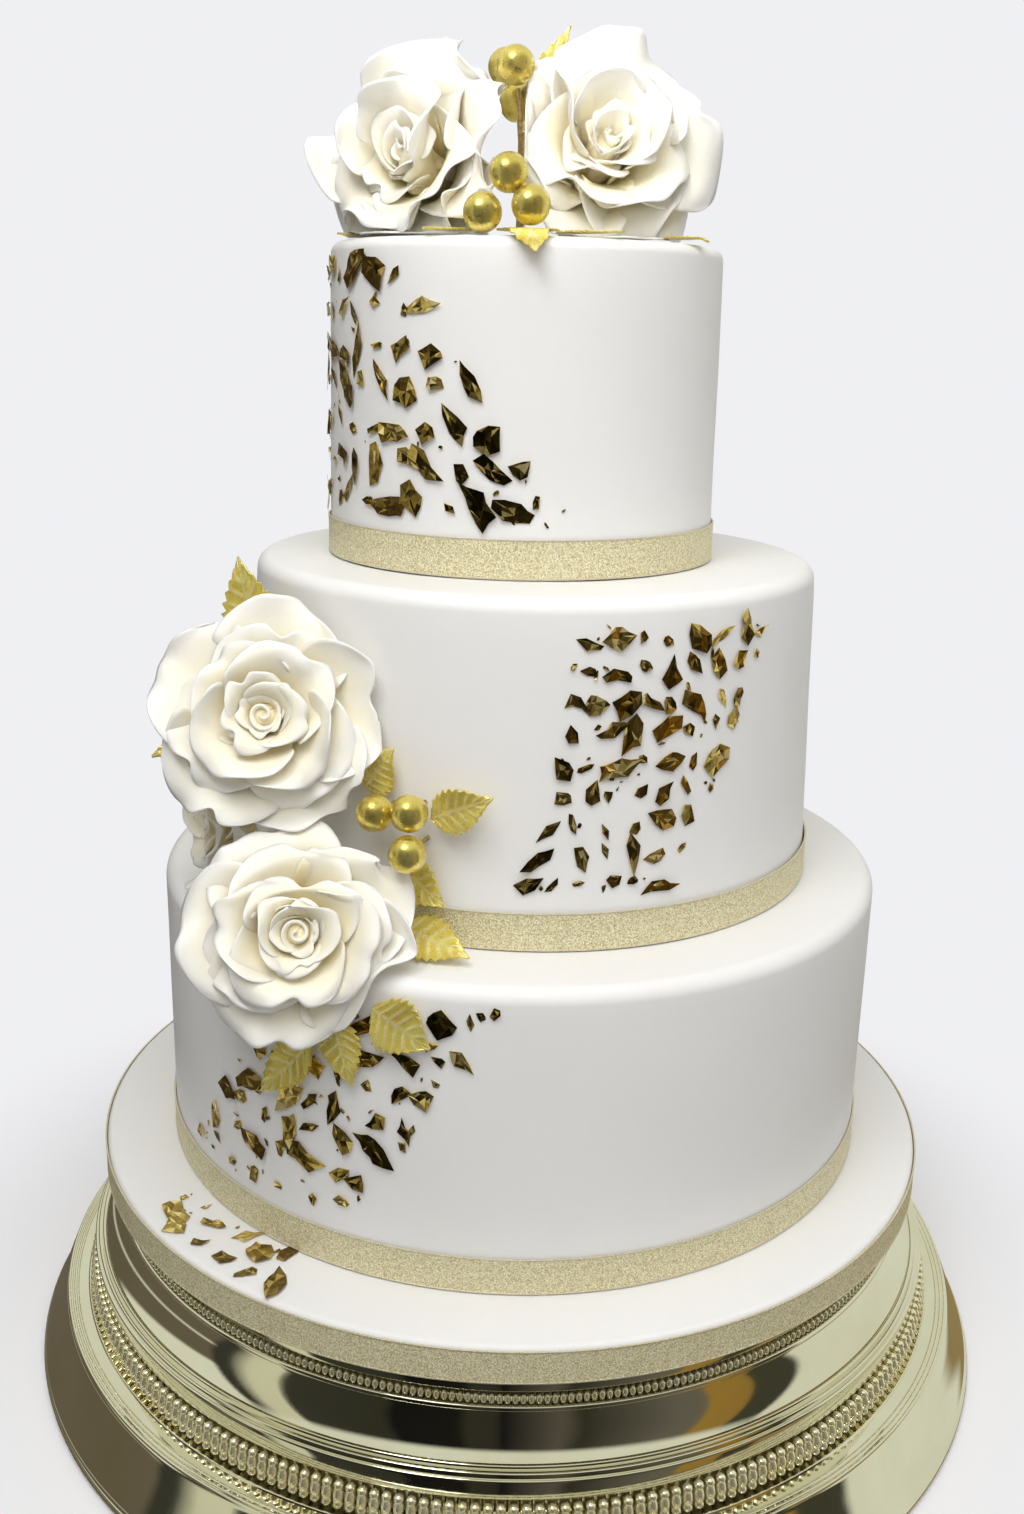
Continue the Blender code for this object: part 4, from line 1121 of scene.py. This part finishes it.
def build_stage():
    """A plain pale floor that runs up into a plain pale backdrop all round."""
    material, nodes = new_material("pale floor", (0.97, 0.97, 1.0), 0.9)
    nodes.shade({"Specular IOR Level": 0.0})
    glow = nodes.add("Emission", {"Color": BACKDROP_COLOUR})
    from_centre = nodes.add("VectorMath", {0: nodes.point()}, operation="LENGTH").outputs["Value"]
    mixed = nodes.add("MixShader", {"Fac": nodes.rising(from_centre, 0.21, 0.38),
                                    1: nodes.shader.outputs["BSDF"], 2: glow.outputs["Emission"]})
    nodes.feed(nodes.tree.nodes["Material Output"], {"Surface": mixed.outputs["Shader"]})
    bend = arc((1300.0, 1200.0), 1200.0, 0.0, -90.0, 12)
    sweep = lathe("backdrop", [(2500.0, 3000.0), (2500.0, 1200.0), *bend, (600.0, 0.0), (0.0, 0.0)], material,
                  sides=96)
    for rays in ("diffuse", "glossy", "transmission", "shadow"):
        setattr(sweep, "visible_" + rays, False)
    table_material, nodes = new_material("pale table", (0.34, 0.34, 0.35), 0.8)
    nodes.shade({"Specular IOR Level": 0.1})
    table = lathe("table_top", [(0.0, -0.5), (1400.0, -0.5)], table_material, sides=64)
    table.visible_camera = False
    table.visible_glossy = False


def main():
    scene = bpy.context.scene
    scene.view_settings.view_transform = "Standard"
    place_camera()
    build_world()
    build_stage()
    add_light("overhead", (0.06, -0.78, 1.34), (0.0, -0.05, 0.25), 1.1, 7.4, (1.0, 0.996, 0.985),
              mirrored=False)
    add_light("highlight", (-0.24, -0.46, 1.02), (-0.03, 0.0, 0.42), 0.30, 1.7)
    add_light("crown", (-0.10, -0.70, 0.54), (-0.01, -0.05, 0.562), 0.08, 0.024, mirrored=False, spread=13.0)
    add_light("front", (-0.08, -0.66, 0.78), (0.0, 0.0, 0.44), 0.30, 0.62, mirrored=False)
    metal = plate_material("pale gold plate", (0.80, 0.76, 0.59), (0.88, 0.855, 0.72), 0.03)
    beading = plate_material("bright gold beading", (1.0, 0.91, 0.58), (1.0, 0.96, 0.74), 0.13, 0.78)
    icing = icing_material()
    paste = paste_material()
    foil = leaf_foil_material()
    dust = dust_material("gold dusted berries", 0.86, 0.30, 0.3)
    leaf_dust = dust_material("gold dusted leaves", 0.46, 0.30, 0.6, 0.75)
    tape = thread_material("gold stem tape", (0.50, 0.37, 0.14), 0.42, 0.8, 700.0, 3.0,
                           (0.34, 0.23, 0.08), (0.66, 0.51, 0.22), 0.5, 0.0004)
    edge = thread_material("ribbon edge", (0.78, 0.71, 0.50), 0.45, 0.55, 1500.0, 2.0,
                           (0.60, 0.53, 0.34), (0.86, 0.80, 0.62), 0.4, 0.0003)
    glitter = ribbon_material("glitter ribbon", (0.50, 0.42, 0.20), (0.99, 0.92, 0.63), 0.42)
    board_glitter = ribbon_material("board glitter ribbon", (0.52, 0.43, 0.21), (1.0, 0.94, 0.64), 0.42)
    build_stand(metal, beading)
    build_board(icing)
    build_ribbon("board_band", BOARD_RADIUS + RIBBON_GAP, STAND_HEIGHT, BOARD_TOP - BOARD_EDGE_ROUND * 0.5,
                 board_glitter, edge, "board_ribbon")
    for name, tier in TIERS.items():
        build_tier(name, tier, icing)
        low = tier["floor"] + 2.0 * RIBBON_GAP
        build_ribbon("band_" + name, tier["base"] + RIBBON_GAP, low, low + RIBBON_WIDTH, glitter, edge,
                     "ribbon_" + name, tier["shift"])
    build_all_flakes(foil)
    for name, rose in ROSES.items():
        build_rose(name, rose, paste)
    for name, leaf in LEAVES.items():
        build_leaf(name, *leaf, leaf_dust)
    build_berries_and_stems(dust, tape)


main()
bpy.context.view_layer.update()
